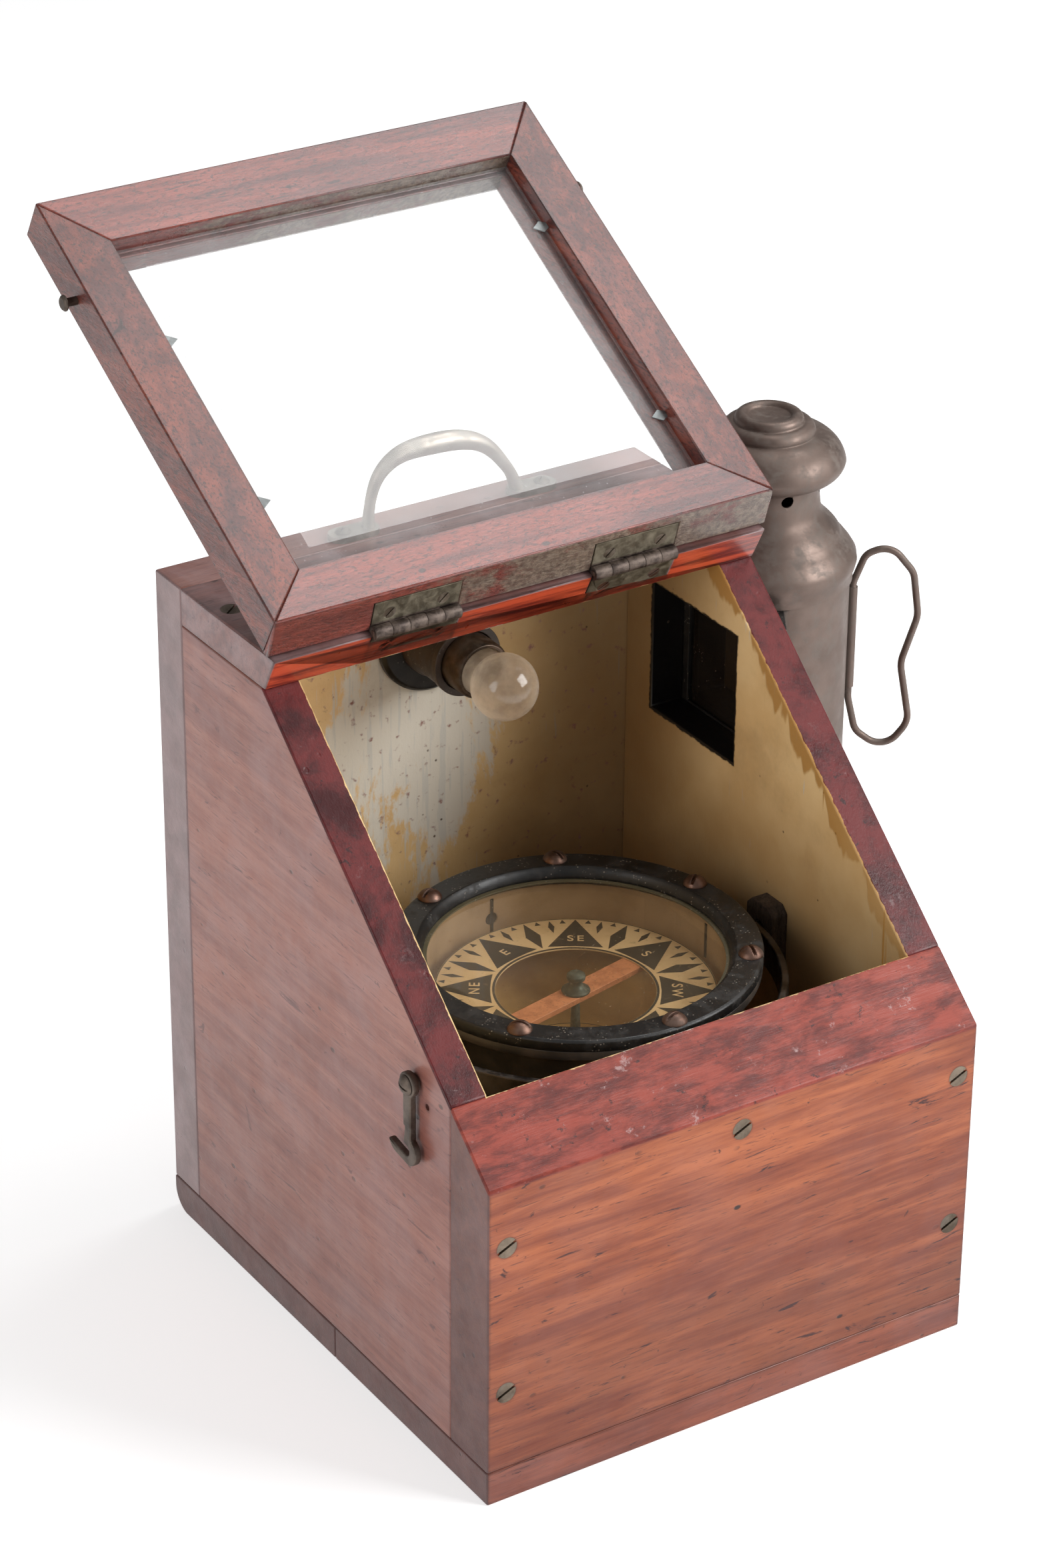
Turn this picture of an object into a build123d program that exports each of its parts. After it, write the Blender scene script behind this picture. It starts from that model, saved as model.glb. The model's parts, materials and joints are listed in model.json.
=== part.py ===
from build123d import *
from math import cos, radians, sin, tan
import os

# Boxed boat compass: a mahogany case with a sloping glazed lid, a gimballed compass,
# an electric bulb inside and an oil lamp that slides onto the right-hand wall.
# X runs along the front, Y to the back, Z up. The origin is the middle of the underside.

# ---- driving dimensions, mm -------------------------------------------------------------
case_width = 203.2
case_depth = 221.0
case_height = 266.4
front_height = 128.0
slope_angle = 40.5
base_thickness = 13.5
front_thickness = 24.0
back_thickness = 18.4
side_thickness = 14.5
top_thickness = 14.4
top_front_setback = 136.7
joint_lean = 28.0
bevel_width = 4.6
bevel_depth = 1.1

lid_width = 205.6
lid_length = 191.4
lid_thickness = 17.0
lid_opening = 190.5
stile_width = 19.0
hinge_rail_width = 18.0
free_rail_width = 23.0
glass_lip = 2.5
glass_depth = 8.0
glass_thickness = 3.0

hinge_spacing = 90.2
hinge_length = 34.9
leaf_height = 14.0
leaf_thickness = 1.2
knuckle_radius = 2.6
hinge_pin_radius = 1.2
running_clearance = 0.05

compass_height = 141.5
compass_setback = 102.5
bezel_radius = 66.8
bezel_sight = 56.2
bezel_screw_count = 7
bezel_screw_circle = 62.2
bezel_screw_phase = 12.7
gimbal_height = 124.0
gimbal_radius = 76.0
gimbal_wall = 3.0
gimbal_depth = 12.0
trunnion_radius = 2.5
card_radius = 50.8
card_height = 122.5

bulb_height = 223.0
bulb_reach = 51.5
bulb_radius = 12.3

lamp_x = 138.8
lamp_setback = 187.5
lamp_radius = 32.5
lamp_top = 284.0
sheet = 1.0

# ---- places worked out from them ----------------------------------------------------------
half_width = case_width / 2
y_front = -case_depth / 2
y_back = case_depth / 2
inner_front = y_front + front_thickness
inner_back = y_back - back_thickness
inner_side = half_width - side_thickness
ceiling = case_height - top_thickness
slope = radians(slope_angle)
lean = radians(joint_lean)
slope_at_front_board = front_height + front_thickness * tan(slope)
slope_meets_ceiling = y_front + (ceiling - front_height) / tan(slope)

joint_y = y_front + top_front_setback
joint_z = case_height - bevel_depth
joint_length = (joint_z - ceiling) / cos(lean)
hinge_y = joint_y + 0.6
hinge_z = joint_z + 0.8

compass_y = y_front + compass_setback
lamp_y = y_front + lamp_setback

section = Plane(origin=(0, 0, 0), x_dir=(0, 1, 0), z_dir=(1, 0, 0))


def turned(point, degrees_open):
    """A (y, z) point of the closed lid, carried round the hinge to an open angle."""
    angle = -radians(degrees_open)
    dy = point[0] - hinge_y
    dz = point[1] - hinge_z
    return (hinge_y + dy * cos(angle) - dz * sin(angle), hinge_z + dy * sin(angle) + dz * cos(angle))


def finish(builder, name):
    """Label a finished piece and write it as its own STEP file."""
    builder.part.label = name
    export_step(builder.part, f"parts/{name}.step")


def wood_screw(head_radius, shank_radius, length, slot_width=0.0, slot_depth=0.0):
    """A countersunk screw whose head lies flush at z = 0 and whose shank points down."""
    head_height = head_radius - shank_radius
    with BuildPart() as screw:
        with BuildSketch(Plane.XZ):
            with BuildLine():
                Polyline((0, 0), (head_radius, 0), (shank_radius, -head_height),
                         (shank_radius, -length + shank_radius), (0, -length), close=True)
            make_face()
        revolve(axis=Axis.Z)
        if slot_width:
            Box(3 * head_radius, slot_width, 2 * slot_depth, mode=Mode.SUBTRACT)
    return screw.part


def round_screw(head_radius, head_height, shank_radius, length, slot_width):
    """A round-head slotted screw: the head stands on z = 0 and the shank points down."""
    ball = (head_radius ** 2 + head_height ** 2) / (2 * head_height)
    with BuildPart() as screw:
        with BuildSketch(Plane.XZ):
            with BuildLine():
                RadiusArc((head_radius, 0), (0, head_height), -ball)
                Polyline((0, head_height), (0, -length), (shank_radius, -length), (shank_radius, 0),
                         (head_radius, 0))
            make_face()
        revolve(axis=Axis.Z)
        with Locations((0, 0, head_height)):
            Box(3 * head_radius, slot_width, 1.1 * head_height, mode=Mode.SUBTRACT)
    return screw.part


os.makedirs("parts", exist_ok=True)

# ---- screws used more than once, and where they go ----------------------------------------
board_screw = wood_screw(4.0, 2.0, 36, slot_width=0.9, slot_depth=1.0)
board_blank = wood_screw(4.0, 2.0, 36)
short_screw = wood_screw(4.0, 2.0, 20, slot_width=0.9, slot_depth=1.0)
short_blank = wood_screw(4.0, 2.0, 20)
leaf_screw = wood_screw(2.5, 1.3, 11, slot_width=0.6, slot_depth=0.7)
leaf_blank = wood_screw(2.5, 1.3, 11)

front_screw_places = [
    Plane(origin=(x, y_front, z), x_dir=(1, 0, 0.45), z_dir=(0, -1, 0))
    for x, z in ((-94.3, 45), (-94.3, 104), (94.3, 47), (94.3, 109))
]
front_middle_place = Plane(origin=(1, y_front, 118.5), x_dir=(1, 0, 0.45), z_dir=(0, -1, 0))
back_screw_places = [
    Plane(origin=(x, y_back, z), x_dir=(1, 0, -0.6), z_dir=(0, 1, 0))
    for x in (-94.3, 94.3)
    for z in (46, 128, 210)
]
top_screw_places = [
    Plane(origin=(x, y, case_height), x_dir=(1, 0.8, 0), z_dir=(0, 0, 1))
    for x in (-94.3, 94.3)
    for y in (44.0, 68.5)
]
base_screw_places = [
    Plane(origin=(x, y, 0), x_dir=(1, 0.3, 0), z_dir=(0, 0, -1))
    for x in (-94.3, 94.3)
    for y in (-70.0, -22.0, 30.0, 80.0)
]

hook_y = y_front + 45.5
hook_z = 147.5
hook_reach = 26.3
hook_thickness = 2.6
hook_gap = 1.5
hook_screw = round_screw(3.8, 2.0, 1.9, 16, slot_width=0.8)
hook_screw_places = [
    Plane(origin=(side * (half_width + hook_gap + hook_thickness + 0.2), hook_y, hook_z), x_dir=(0, 1, 0.3),
          z_dir=(side, 0, 0))
    for side in (-1, 1)
]

handle_x = 10.0
handle_y = y_front + 208.5
handle_span = 63.4
handle_foot = 20.0
handle_screw = round_screw(3.0, 1.8, 1.5, 16, slot_width=0.7)
handle_screw_places = [
    Plane(origin=(handle_x + side * (handle_span / 2 + 10.5), handle_y, case_height + 2.2),
          x_dir=(1, 1, 0), z_dir=(0, 0, 1))
    for side in (-1, 1)
]

block_depth = 16.0
block_width = 7.0
block_top = 134.0
block_height = 24.0
block_screw = wood_screw(2.2, 1.2, 14, slot_width=0.6, slot_depth=0.6)
block_blank = wood_screw(2.2, 1.2, 14)
block_screw_places = [
    Plane(origin=(side * (inner_side - block_width), compass_y, block_top - block_height + 4.5),
          x_dir=(0, 1, 0.4), z_dir=(-side, 0, 0))
    for side in (-1, 1)
]

holder_radius = 22.0
holder_base = 4.0
holder_screw = round_screw(3.9, 2.6, 1.6, 16, slot_width=0.9)
holder_screw_places = [
    Plane(origin=(x, inner_back - holder_base, bulb_height + z), x_dir=(1, 0, 0.5), z_dir=(0, -1, 0))
    for x, z in ((4.5, -17.9), (-4.5, 17.9))
]

window_y0 = y_front + 132.0
window_y1 = y_front + 185.6
window_z0 = 176.5
window_z1 = 228.0
window_y = (window_y0 + window_y1) / 2
window_z = (window_z0 + window_z1) / 2

bracket_y0 = window_y0 - 7.0
bracket_y1 = window_y1 + 7.0
bracket_z0 = 168.0
bracket_z1 = 232.0
bracket_screw = wood_screw(2.4, 1.2, 12, slot_width=0.6, slot_depth=0.6)
bracket_blank = wood_screw(2.4, 1.2, 12)
bracket_screw_places = [
    Plane(origin=(half_width + sheet, y, z), x_dir=(0, 1, 0.5), z_dir=(1, 0, 0))
    for y in (window_y0 + 6, window_y1 - 6)
    for z in (172.0, 226.5)
]

hinge_centres = (-hinge_spacing / 2, hinge_spacing / 2)

# ---- case boards --------------------------------------------------------------------------
base_seam = y_front + 102.6
for name, y0, y1 in (("base_board_front", y_front, base_seam), ("base_board_rear", base_seam, y_back)):
    with BuildPart() as board:
        with BuildSketch(Plane.XY):
            with Locations((0, (y0 + y1) / 2)):
                Rectangle(case_width, y1 - y0)
        extrude(amount=base_thickness)
        if name == "base_board_rear":
            fillet(board.edges().filter_by(Axis.X).group_by(Axis.Z)[0].sort_by(Axis.Y)[-1], 9.0)
        with Locations(*base_screw_places):
            add(board_blank, mode=Mode.SUBTRACT)
    finish(board, name)

with BuildPart() as front_board:
    with BuildSketch(section):
        with BuildLine():
            Polyline((y_front, base_thickness), (inner_front, base_thickness),
                     (inner_front, slope_at_front_board), (y_front, front_height), close=True)
        make_face()
    extrude(amount=half_width, both=True)
    with Locations(*front_screw_places):
        add(board_blank, mode=Mode.SUBTRACT)
    with Locations(front_middle_place):
        add(short_blank, mode=Mode.SUBTRACT)
finish(front_board, "front_board")

with BuildPart() as back_board:
    with BuildSketch(Plane.XY.offset(base_thickness)):
        with Locations((0, (inner_back + y_back) / 2)):
            Rectangle(case_width, back_thickness)
    extrude(amount=case_height - base_thickness)
    with Locations(*back_screw_places):
        add(board_blank, mode=Mode.SUBTRACT)
    for place in handle_screw_places:
        with Locations(Location((place.origin.X, handle_y, case_height))):
            Cylinder(1.5, 13.8, align=(Align.CENTER, Align.CENTER, Align.MAX), mode=Mode.SUBTRACT)
    for place in holder_screw_places:
        with Locations(Plane(origin=(place.origin.X, inner_back, place.origin.Z), z_dir=(0, 1, 0))):
            Cylinder(1.6, 12, align=(Align.CENTER, Align.CENTER, Align.MIN), mode=Mode.SUBTRACT)
finish(back_board, "back_board")

for name, side in (("left_side_panel", -1), ("right_side_panel", 1)):
    inner_face = side * inner_side
    with BuildPart() as panel:
        with BuildSketch(Plane(origin=(inner_face, 0, 0), x_dir=(0, 1, 0), z_dir=(1, 0, 0))):
            with BuildLine():
                Polyline((inner_front, base_thickness), (inner_back, base_thickness),
                         (inner_back, ceiling), (slope_meets_ceiling, ceiling),
                         (inner_front, slope_at_front_board), close=True)
            make_face()
        extrude(amount=side * side_thickness)
        with Locations(*front_screw_places, *back_screw_places, *top_screw_places, *base_screw_places):
            add(board_blank, mode=Mode.SUBTRACT)
        with Locations(*block_screw_places):
            add(block_blank, mode=Mode.SUBTRACT)
        with Locations(*hook_screw_places):
            Cylinder(1.9, 16, align=(Align.CENTER, Align.CENTER, Align.MAX), mode=Mode.SUBTRACT)
        if side > 0:
            with Locations((half_width, window_y, window_z)):
                Box(4 * side_thickness, window_y1 - window_y0, window_z1 - window_z0, mode=Mode.SUBTRACT)
            with Locations(*bracket_screw_places):
                add(bracket_blank, mode=Mode.SUBTRACT)
        else:
            with Locations(Plane(origin=(-half_width, hook_y - 7.0, hook_z - 6.5), z_dir=(-1, 0, 0))):
                Hole(1.2, depth=6)
    finish(panel, name)

joint_face = Plane(origin=(0, joint_y, joint_z), x_dir=(1, 0, 0), z_dir=(0, -cos(lean), -sin(lean)))
lower_leaf_screws = [
    Plane(origin=(x + dx, joint_y + 8.0 * sin(lean), joint_z - 8.0 * cos(lean)), x_dir=(0.6, 0.2, 0.7),
          z_dir=joint_face.z_dir)
    for x in hinge_centres
    for dx in (-10.8, 10.8)
]
lower_leaf_end = (joint_y + leaf_height * sin(lean), joint_z - leaf_height * cos(lean))
lower_leaf_inner = (lower_leaf_end[0] + leaf_thickness * cos(lean),
                    lower_leaf_end[1] + leaf_thickness * sin(lean))

with BuildPart() as top_board:
    with BuildSketch(section):
        with BuildLine():
            Polyline((joint_y, joint_z), (joint_y + bevel_width, case_height), (inner_back, case_height),
                     (inner_back, ceiling), (joint_y + joint_length * sin(lean), ceiling), close=True)
        make_face()
    extrude(amount=half_width, both=True)
    for x in hinge_centres:
        with BuildSketch(Plane(origin=(x, 0, 0), x_dir=(0, 1, 0), z_dir=(1, 0, 0))):
            with Locations((hinge_y, hinge_z)):
                Circle(knuckle_radius + 0.3)
            with BuildLine():
                Polyline((joint_y - 1, joint_z), lower_leaf_end,
                         (lower_leaf_end[0] + (leaf_thickness) * cos(lean) + 1.0 * sin(lean),
                          lower_leaf_end[1] + leaf_thickness * sin(lean) - 1.0 * cos(lean)),
                         (joint_y + leaf_thickness * cos(lean), joint_z + leaf_thickness * sin(lean)),
                         close=True)
            make_face()
        extrude(amount=hinge_length / 2 + 0.2, both=True, mode=Mode.SUBTRACT)
    with Locations(*lower_leaf_screws):
        add(leaf_blank, mode=Mode.SUBTRACT)
    with Locations(*top_screw_places):
        add(board_blank, mode=Mode.SUBTRACT)
finish(top_board, "top_board")

for name, screw, places in (
    ("front_board_screws", board_screw, front_screw_places),
    ("back_board_screws", board_screw, back_screw_places),
    ("top_board_screws", board_screw, top_screw_places),
    ("base_screws", board_screw, base_screw_places),
    ("hook_screws", hook_screw, hook_screw_places),
    ("carry_handle_screws", handle_screw, handle_screw_places),
    ("gimbal_block_screws", block_screw, block_screw_places),
    ("bulb_holder_screws", holder_screw, holder_screw_places),
    ("lamp_bracket_screws", bracket_screw, bracket_screw_places),
    ("hinge_lower_screws", leaf_screw, lower_leaf_screws),
):
    with BuildPart() as screws:
        with Locations(*places):
            add(screw)
        if name == "front_board_screws":
            with Locations(front_middle_place):
                add(short_screw)
    finish(screws, name)

# ---- lid: four mitred members, a pane, and its fittings ------------------------------------
# The closed inner edge is where the lid's hinge edge meets the sloping tops of the sides.
joint_gap = 0.6
seat_gap = 0.3
gap_point = (joint_y - joint_gap * cos(lean), joint_z - joint_gap * sin(lean))
seat_point = (y_front - seat_gap * sin(slope), front_height + seat_gap * cos(slope))
run = ((seat_point[1] - gap_point[1]) * cos(slope) - (seat_point[0] - gap_point[0]) * sin(slope)) / (
    -cos(lean) * cos(slope) - sin(lean) * sin(slope))
closed_edge = (gap_point[0] + run * sin(lean), gap_point[1] - run * cos(lean))
open_edge = turned(closed_edge, lid_opening)
rise = radians(180 + slope_angle - lid_opening)
edge_skew = lid_thickness * tan(slope - lean)

lid_plane = Plane(origin=(0, open_edge[0], open_edge[1]), x_dir=(1, 0, 0), z_dir=(0, -sin(rise), cos(rise)))
half_lid = lid_width / 2
sight_x = half_lid - stile_width
sight_v0 = hinge_rail_width
sight_v1 = lid_length - free_rail_width


def on_lid(v, w):
    """World (y, z) of a point v along the open lid from its hinge edge and w above its inner face."""
    return (open_edge[0] + v * cos(rise) - w * sin(rise), open_edge[1] + v * sin(rise) + w * cos(rise))


peg_v = 153.0
peg_w = -9.0
peg_places = [
    Plane(origin=(side * half_lid, *on_lid(peg_v, peg_w)), z_dir=(side, 0, 0)) for side in (-1, 1)
]
edge_face_normal = Vector(0, -cos(rise - (slope - lean)), -sin(rise - (slope - lean)))
edge_top = on_lid(0, 0)
edge_low = on_lid(-edge_skew, -lid_thickness)
edge_along = Vector(0, edge_top[0] - edge_low[0], edge_top[1] - edge_low[1]).normalized()
leaf_reach = leaf_height - 0.6
leaf_top = (edge_low[0] + leaf_reach * edge_along.Y, edge_low[1] + leaf_reach * edge_along.Z)
upper_leaf_screws = [
    Plane(origin=(x + dx, edge_low[0] + 7.6 * edge_along.Y, edge_low[1] + 7.6 * edge_along.Z),
          x_dir=(0.6, -0.2, 0.7), z_dir=edge_face_normal)
    for x in hinge_centres
    for dx in (-10.8, 10.8)
]
leaf_depth = edge_face_normal * -leaf_thickness

lip_x = sight_x - glass_lip
lip_v0 = sight_v0 + glass_lip
lip_v1 = sight_v1 - glass_lip
members = {
    "lid_hinge_rail": [(-half_lid, -edge_skew - 1), (half_lid, -edge_skew - 1), (half_lid, 0),
                       (lip_x, lip_v0), (-lip_x, lip_v0), (-half_lid, 0)],
    "lid_free_rail": [(-half_lid, lid_length), (half_lid, lid_length), (lip_x, lip_v1), (-lip_x, lip_v1)],
    "lid_left_stile": [(-half_lid, 0), (-lip_x, lip_v0), (-lip_x, lip_v1), (-half_lid, lid_length)],
    "lid_right_stile": [(half_lid, 0), (lip_x, lip_v0), (lip_x, lip_v1), (half_lid, lid_length)],
}
for name, outline in members.items():
    with BuildPart() as member:
        with BuildSketch(lid_plane):
            with BuildLine():
                Polyline(*outline, close=True)
            make_face()
        extrude(amount=-lid_thickness)
        with BuildSketch(lid_plane):
            with Locations((0, (sight_v0 + sight_v1) / 2)):
                Rectangle(2 * sight_x, sight_v1 - sight_v0)
        extrude(amount=-glass_depth, mode=Mode.SUBTRACT)
        if name == "lid_hinge_rail":
            with BuildSketch(section):
                with BuildLine():
                    Polyline(on_lid(0, 0), on_lid(60, 0), on_lid(60, -lid_thickness),
                             on_lid(-edge_skew + 2.4, -lid_thickness),
                             on_lid(-edge_skew + 0.45, -lid_thickness + 1.5), close=True)
                make_face()
            extrude(amount=half_width * 2, both=True, mode=Mode.INTERSECT)
            for x in hinge_centres:
                with BuildSketch(Plane(origin=(x, 0, 0), x_dir=(0, 1, 0), z_dir=(1, 0, 0))):
                    with Locations((hinge_y, hinge_z)):
                        Circle(knuckle_radius + 0.3)
                    with BuildLine():
                        Polyline((edge_low[0], edge_low[1]), leaf_top,
                                 (leaf_top[0] + leaf_depth.Y, leaf_top[1] + leaf_depth.Z),
                                 (edge_low[0] + leaf_depth.Y, edge_low[1] + leaf_depth.Z), close=True)
                    make_face()
                extrude(amount=hinge_length / 2 + 0.2, both=True, mode=Mode.SUBTRACT)
            with Locations(*upper_leaf_screws):
                add(leaf_blank, mode=Mode.SUBTRACT)
        if name in ("lid_left_stile", "lid_right_stile"):
            with Locations(*peg_places):
                Cylinder(1.6, 14, align=(Align.CENTER, Align.CENTER, Align.MAX), mode=Mode.SUBTRACT)
    finish(member, name)

pane_x = 2 * sight_x - 0.6
pane_v = sight_v1 - sight_v0 - 0.6
bevel_run = 10.0
bevel_fall = 1.2
with BuildPart() as lid_glass:
    for height in (0, glass_thickness - bevel_fall):
        with BuildSketch(lid_plane.offset(height - glass_depth)):
            with Locations((0, (sight_v0 + sight_v1) / 2)):
                Rectangle(pane_x, pane_v)
        if height == 0:
            extrude(amount=glass_thickness - bevel_fall)
    with BuildSketch(lid_plane.offset(glass_thickness - glass_depth)):
        with Locations((0, (sight_v0 + sight_v1) / 2)):
            Rectangle(pane_x - 2 * bevel_run, pane_v - 2 * bevel_run)
    loft()
finish(lid_glass, "lid_glass")

point_places = [(-1, 50.5), (-1, 124.5), (1, 45), (1, 137)]
point_outline = [(0, -1.2), (0, 1.2), (2.6, 2.6), (6.4, 0), (2.6, -2.6)]
with BuildPart() as glazing_points:
    for side, v in point_places:
        with BuildSketch(lid_plane.offset(-glass_depth + glass_thickness)):
            with BuildLine():
                Polyline(*[(side * (sight_x - reach), v + shift) for reach, shift in point_outline],
                         close=True)
            make_face()
        extrude(amount=0.5)
finish(glazing_points, "glazing_points")

with BuildPart() as peg_blank:
    with BuildSketch(Plane.XZ):
        with BuildLine():
            Polyline((0, -14), (1.6, -14), (1.6, 4.4), (3.0, 4.4), (3.0, 5.0), (2.2, 5.8), (0, 5.8),
                     close=True)
        make_face()
    revolve(axis=Axis.Z)
with BuildPart() as lid_pegs:
    with Locations(*peg_places):
        add(peg_blank.part)
finish(lid_pegs, "lid_pegs")

with BuildPart() as upper_screws:
    with Locations(*upper_leaf_screws):
        add(leaf_screw)
finish(upper_screws, "hinge_upper_screws")

# ---- butt hinges: three knuckles on the case leaf, two on the lid leaf ----------------------
knuckle_pitch = hinge_length / 5
lower_outline = [(joint_y, joint_z), lower_leaf_end, lower_leaf_inner,
                 (joint_y + leaf_thickness * cos(lean), joint_z + leaf_thickness * sin(lean))]
leaf_root = (edge_low[0] + edge_along.Y, edge_low[1] + edge_along.Z)
upper_outline = [leaf_root, leaf_top, (leaf_top[0] + leaf_depth.Y, leaf_top[1] + leaf_depth.Z),
                 (leaf_root[0] + leaf_depth.Y, leaf_root[1] + leaf_depth.Z)]
for name, outline, own_knuckles, screws in (
    ("hinge_lower_leaves", lower_outline, (-2, 0, 2), lower_leaf_screws),
    ("hinge_upper_leaves", upper_outline, (-1, 1), upper_leaf_screws),
):
    with BuildPart() as leaves:
        for x in hinge_centres:
            with BuildSketch(Plane(origin=(x, 0, 0), x_dir=(0, 1, 0), z_dir=(1, 0, 0))):
                with BuildLine():
                    Polyline(*outline, close=True)
                make_face()
            extrude(amount=hinge_length / 2, both=True)
            for knuckle in range(-2, 3):
                middle = Plane(origin=(x + knuckle * knuckle_pitch, 0, 0), x_dir=(0, 1, 0), z_dir=(1, 0, 0))
                if knuckle not in own_knuckles:
                    with BuildSketch(middle):
                        with Locations((hinge_y, hinge_z)):
                            Circle(knuckle_radius + 0.12)
                    extrude(amount=knuckle_pitch / 2 + 0.1, both=True, mode=Mode.SUBTRACT)
            for knuckle in own_knuckles:
                middle = Plane(origin=(x + knuckle * knuckle_pitch, 0, 0), x_dir=(0, 1, 0), z_dir=(1, 0, 0))
                with BuildSketch(middle):
                    with Locations((hinge_y, hinge_z)):
                        Circle(knuckle_radius)
                extrude(amount=knuckle_pitch / 2 - 0.08, both=True)
        with BuildSketch(section):
            with Locations((hinge_y, hinge_z)):
                Circle(hinge_pin_radius + running_clearance)
        extrude(amount=half_width, both=True, mode=Mode.SUBTRACT)
        with Locations(*screws):
            add(leaf_blank, mode=Mode.SUBTRACT)
    finish(leaves, name)

with BuildPart() as hinge_pins:
    for x in hinge_centres:
        with BuildSketch(Plane(origin=(x, 0, 0), x_dir=(0, 1, 0), z_dir=(1, 0, 0))):
            with Locations((hinge_y, hinge_z)):
                Circle(hinge_pin_radius)
        extrude(amount=hinge_length / 2 + 0.1, both=True)
finish(hinge_pins, "hinge_pins")

# ---- hooks that hold the lid down ----------------------------------------------------------
slot_z = hook_z - hook_reach
mouth_tilt = 8.0
mouth_width = 4.2
mouth_length = 17.4
mouth_y = cos(radians(mouth_tilt))
mouth_z = sin(radians(mouth_tilt))


def from_seat(along, above):
    """A (y, z) point of the hook, along its mouth and above the seat that takes the peg."""
    return (hook_y + along * mouth_y - above * mouth_z, slot_z + along * mouth_z + above * mouth_y)


for name, side in (("left_hook", -1), ("right_hook", 1)):
    hook_plane = Plane(origin=(side * (half_width + hook_gap), 0, 0), x_dir=(0, 1, 0), z_dir=(1, 0, 0))
    with BuildPart() as hook:
        with BuildSketch(hook_plane):
            with Locations((hook_y, hook_z)):
                Circle(4.6)
            with Locations((hook_y, (hook_z + slot_z) / 2 + 1)):
                Rectangle(4.6, hook_reach)
            with Locations(from_seat(3.2, 0)):
                SlotOverall(17.6, 10.4, rotation=mouth_tilt)
            with Locations(from_seat(7.2, 0)):
                SlotOverall(mouth_length, mouth_width, rotation=mouth_tilt, mode=Mode.SUBTRACT)
            with Locations(from_seat(8.8, 5.5)):
                Rectangle(12.6, 7.2, rotation=mouth_tilt, mode=Mode.SUBTRACT)
        extrude(amount=side * hook_thickness)
        with BuildSketch(Plane(origin=(side * (half_width + 0.3), 0, 0), x_dir=(0, 1, 0), z_dir=(1, 0, 0))):
            with Locations((hook_y, hook_z)):
                Circle(3.4)
        extrude(amount=side * (hook_gap - 0.3))
        with Locations((side * half_width, hook_y, hook_z)):
            Cylinder(1.9 + running_clearance, 4 * hook_thickness, rotation=(0, 90, 0), mode=Mode.SUBTRACT)
    finish(hook, name)

# ---- carry handle --------------------------------------------------------------------------
leg_x = handle_span / 2
bow_outline = [(0, 1.5), (0.6, 9), (5.2, 21.5), (12.5, 26.6), (24, 28), (36, 27.3), (45.3, 24.6),
               (52.6, 19.2), (58.3, 12), (handle_span, 1.5)]
with BuildPart() as carry_handle:
    with BuildLine():
        bow = Spline(*[(handle_x - leg_x + across, handle_y, case_height + rise) for across, rise
                       in bow_outline],
                     tangents=[(0, 0, 1), (0.4, 0, -1)])
    for place, radius in ((0, 2.6), (0.26, 2.8), (0.48, 3.9), (0.72, 3.1), (1, 2.6)):
        with BuildSketch(Plane(origin=bow @ place, z_dir=bow % place)):
            Circle(radius)
    sweep(path=bow, multisection=True)
    for side in (-1, 1):
        with BuildSketch(Plane.XY.offset(case_height)):
            with Locations((handle_x + side * (leg_x + 6), handle_y)):
                SlotOverall(handle_foot, 9.6)
        extrude(amount=2.2)
    with Locations(*handle_screw_places):
        Cylinder(1.5, 8, mode=Mode.SUBTRACT)
finish(carry_handle, "carry_handle")

# ---- gimbals -------------------------------------------------------------------------------
with BuildPart() as gimbal_blocks:
    for side in (-1, 1):
        with BuildSketch(Plane.XY.offset(block_top - block_height)):
            with Locations((side * (inner_side - block_width / 2), compass_y)):
                Rectangle(block_width, block_depth)
        extrude(amount=block_height)
    chamfer(gimbal_blocks.edges().group_by(Axis.Z)[-1].filter_by(Axis.X), 3.0)
    with BuildSketch(Plane(origin=(0, 0, 0), x_dir=(0, 1, 0), z_dir=(1, 0, 0))):
        with Locations((compass_y, gimbal_height)):
            Circle(trunnion_radius + running_clearance)
    extrude(amount=inner_side, both=True, mode=Mode.SUBTRACT)
    with Locations(*block_screw_places):
        add(block_blank, mode=Mode.SUBTRACT)
finish(gimbal_blocks, "gimbal_blocks")

ring_inner = gimbal_radius - gimbal_wall
block_face = inner_side - block_width
with BuildPart() as gimbal_ring:
    with BuildSketch(Plane.XY.offset(gimbal_height - gimbal_depth / 2)):
        with Locations((0, compass_y)):
            Circle(gimbal_radius)
            Circle(ring_inner, mode=Mode.SUBTRACT)
    extrude(amount=gimbal_depth)
    fillet(gimbal_ring.edges().filter_by(GeomType.CIRCLE), 0.8)
    with Locations((0, compass_y, gimbal_height)):
        Cylinder(trunnion_radius, 3 * gimbal_radius, rotation=(0, 90, 0), mode=Mode.SUBTRACT)
        Cylinder(trunnion_radius + running_clearance, 3 * gimbal_radius, rotation=(90, 0, 0),
                 mode=Mode.SUBTRACT)
finish(gimbal_ring, "gimbal_ring")

with BuildPart() as ring_pivots:
    for side in (-1, 1):
        with BuildSketch(Plane(origin=(side * (ring_inner - 0.6), compass_y, gimbal_height),
                               z_dir=(side, 0, 0))):
            Circle(trunnion_radius)
        extrude(amount=block_face + 5 - ring_inner + 0.6)
        with BuildSketch(Plane(origin=(side * gimbal_radius, compass_y, gimbal_height), z_dir=(side, 0, 0))):
            Circle(trunnion_radius + 1.8)
        extrude(amount=1.6)
finish(ring_pivots, "ring_pivots")

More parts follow.
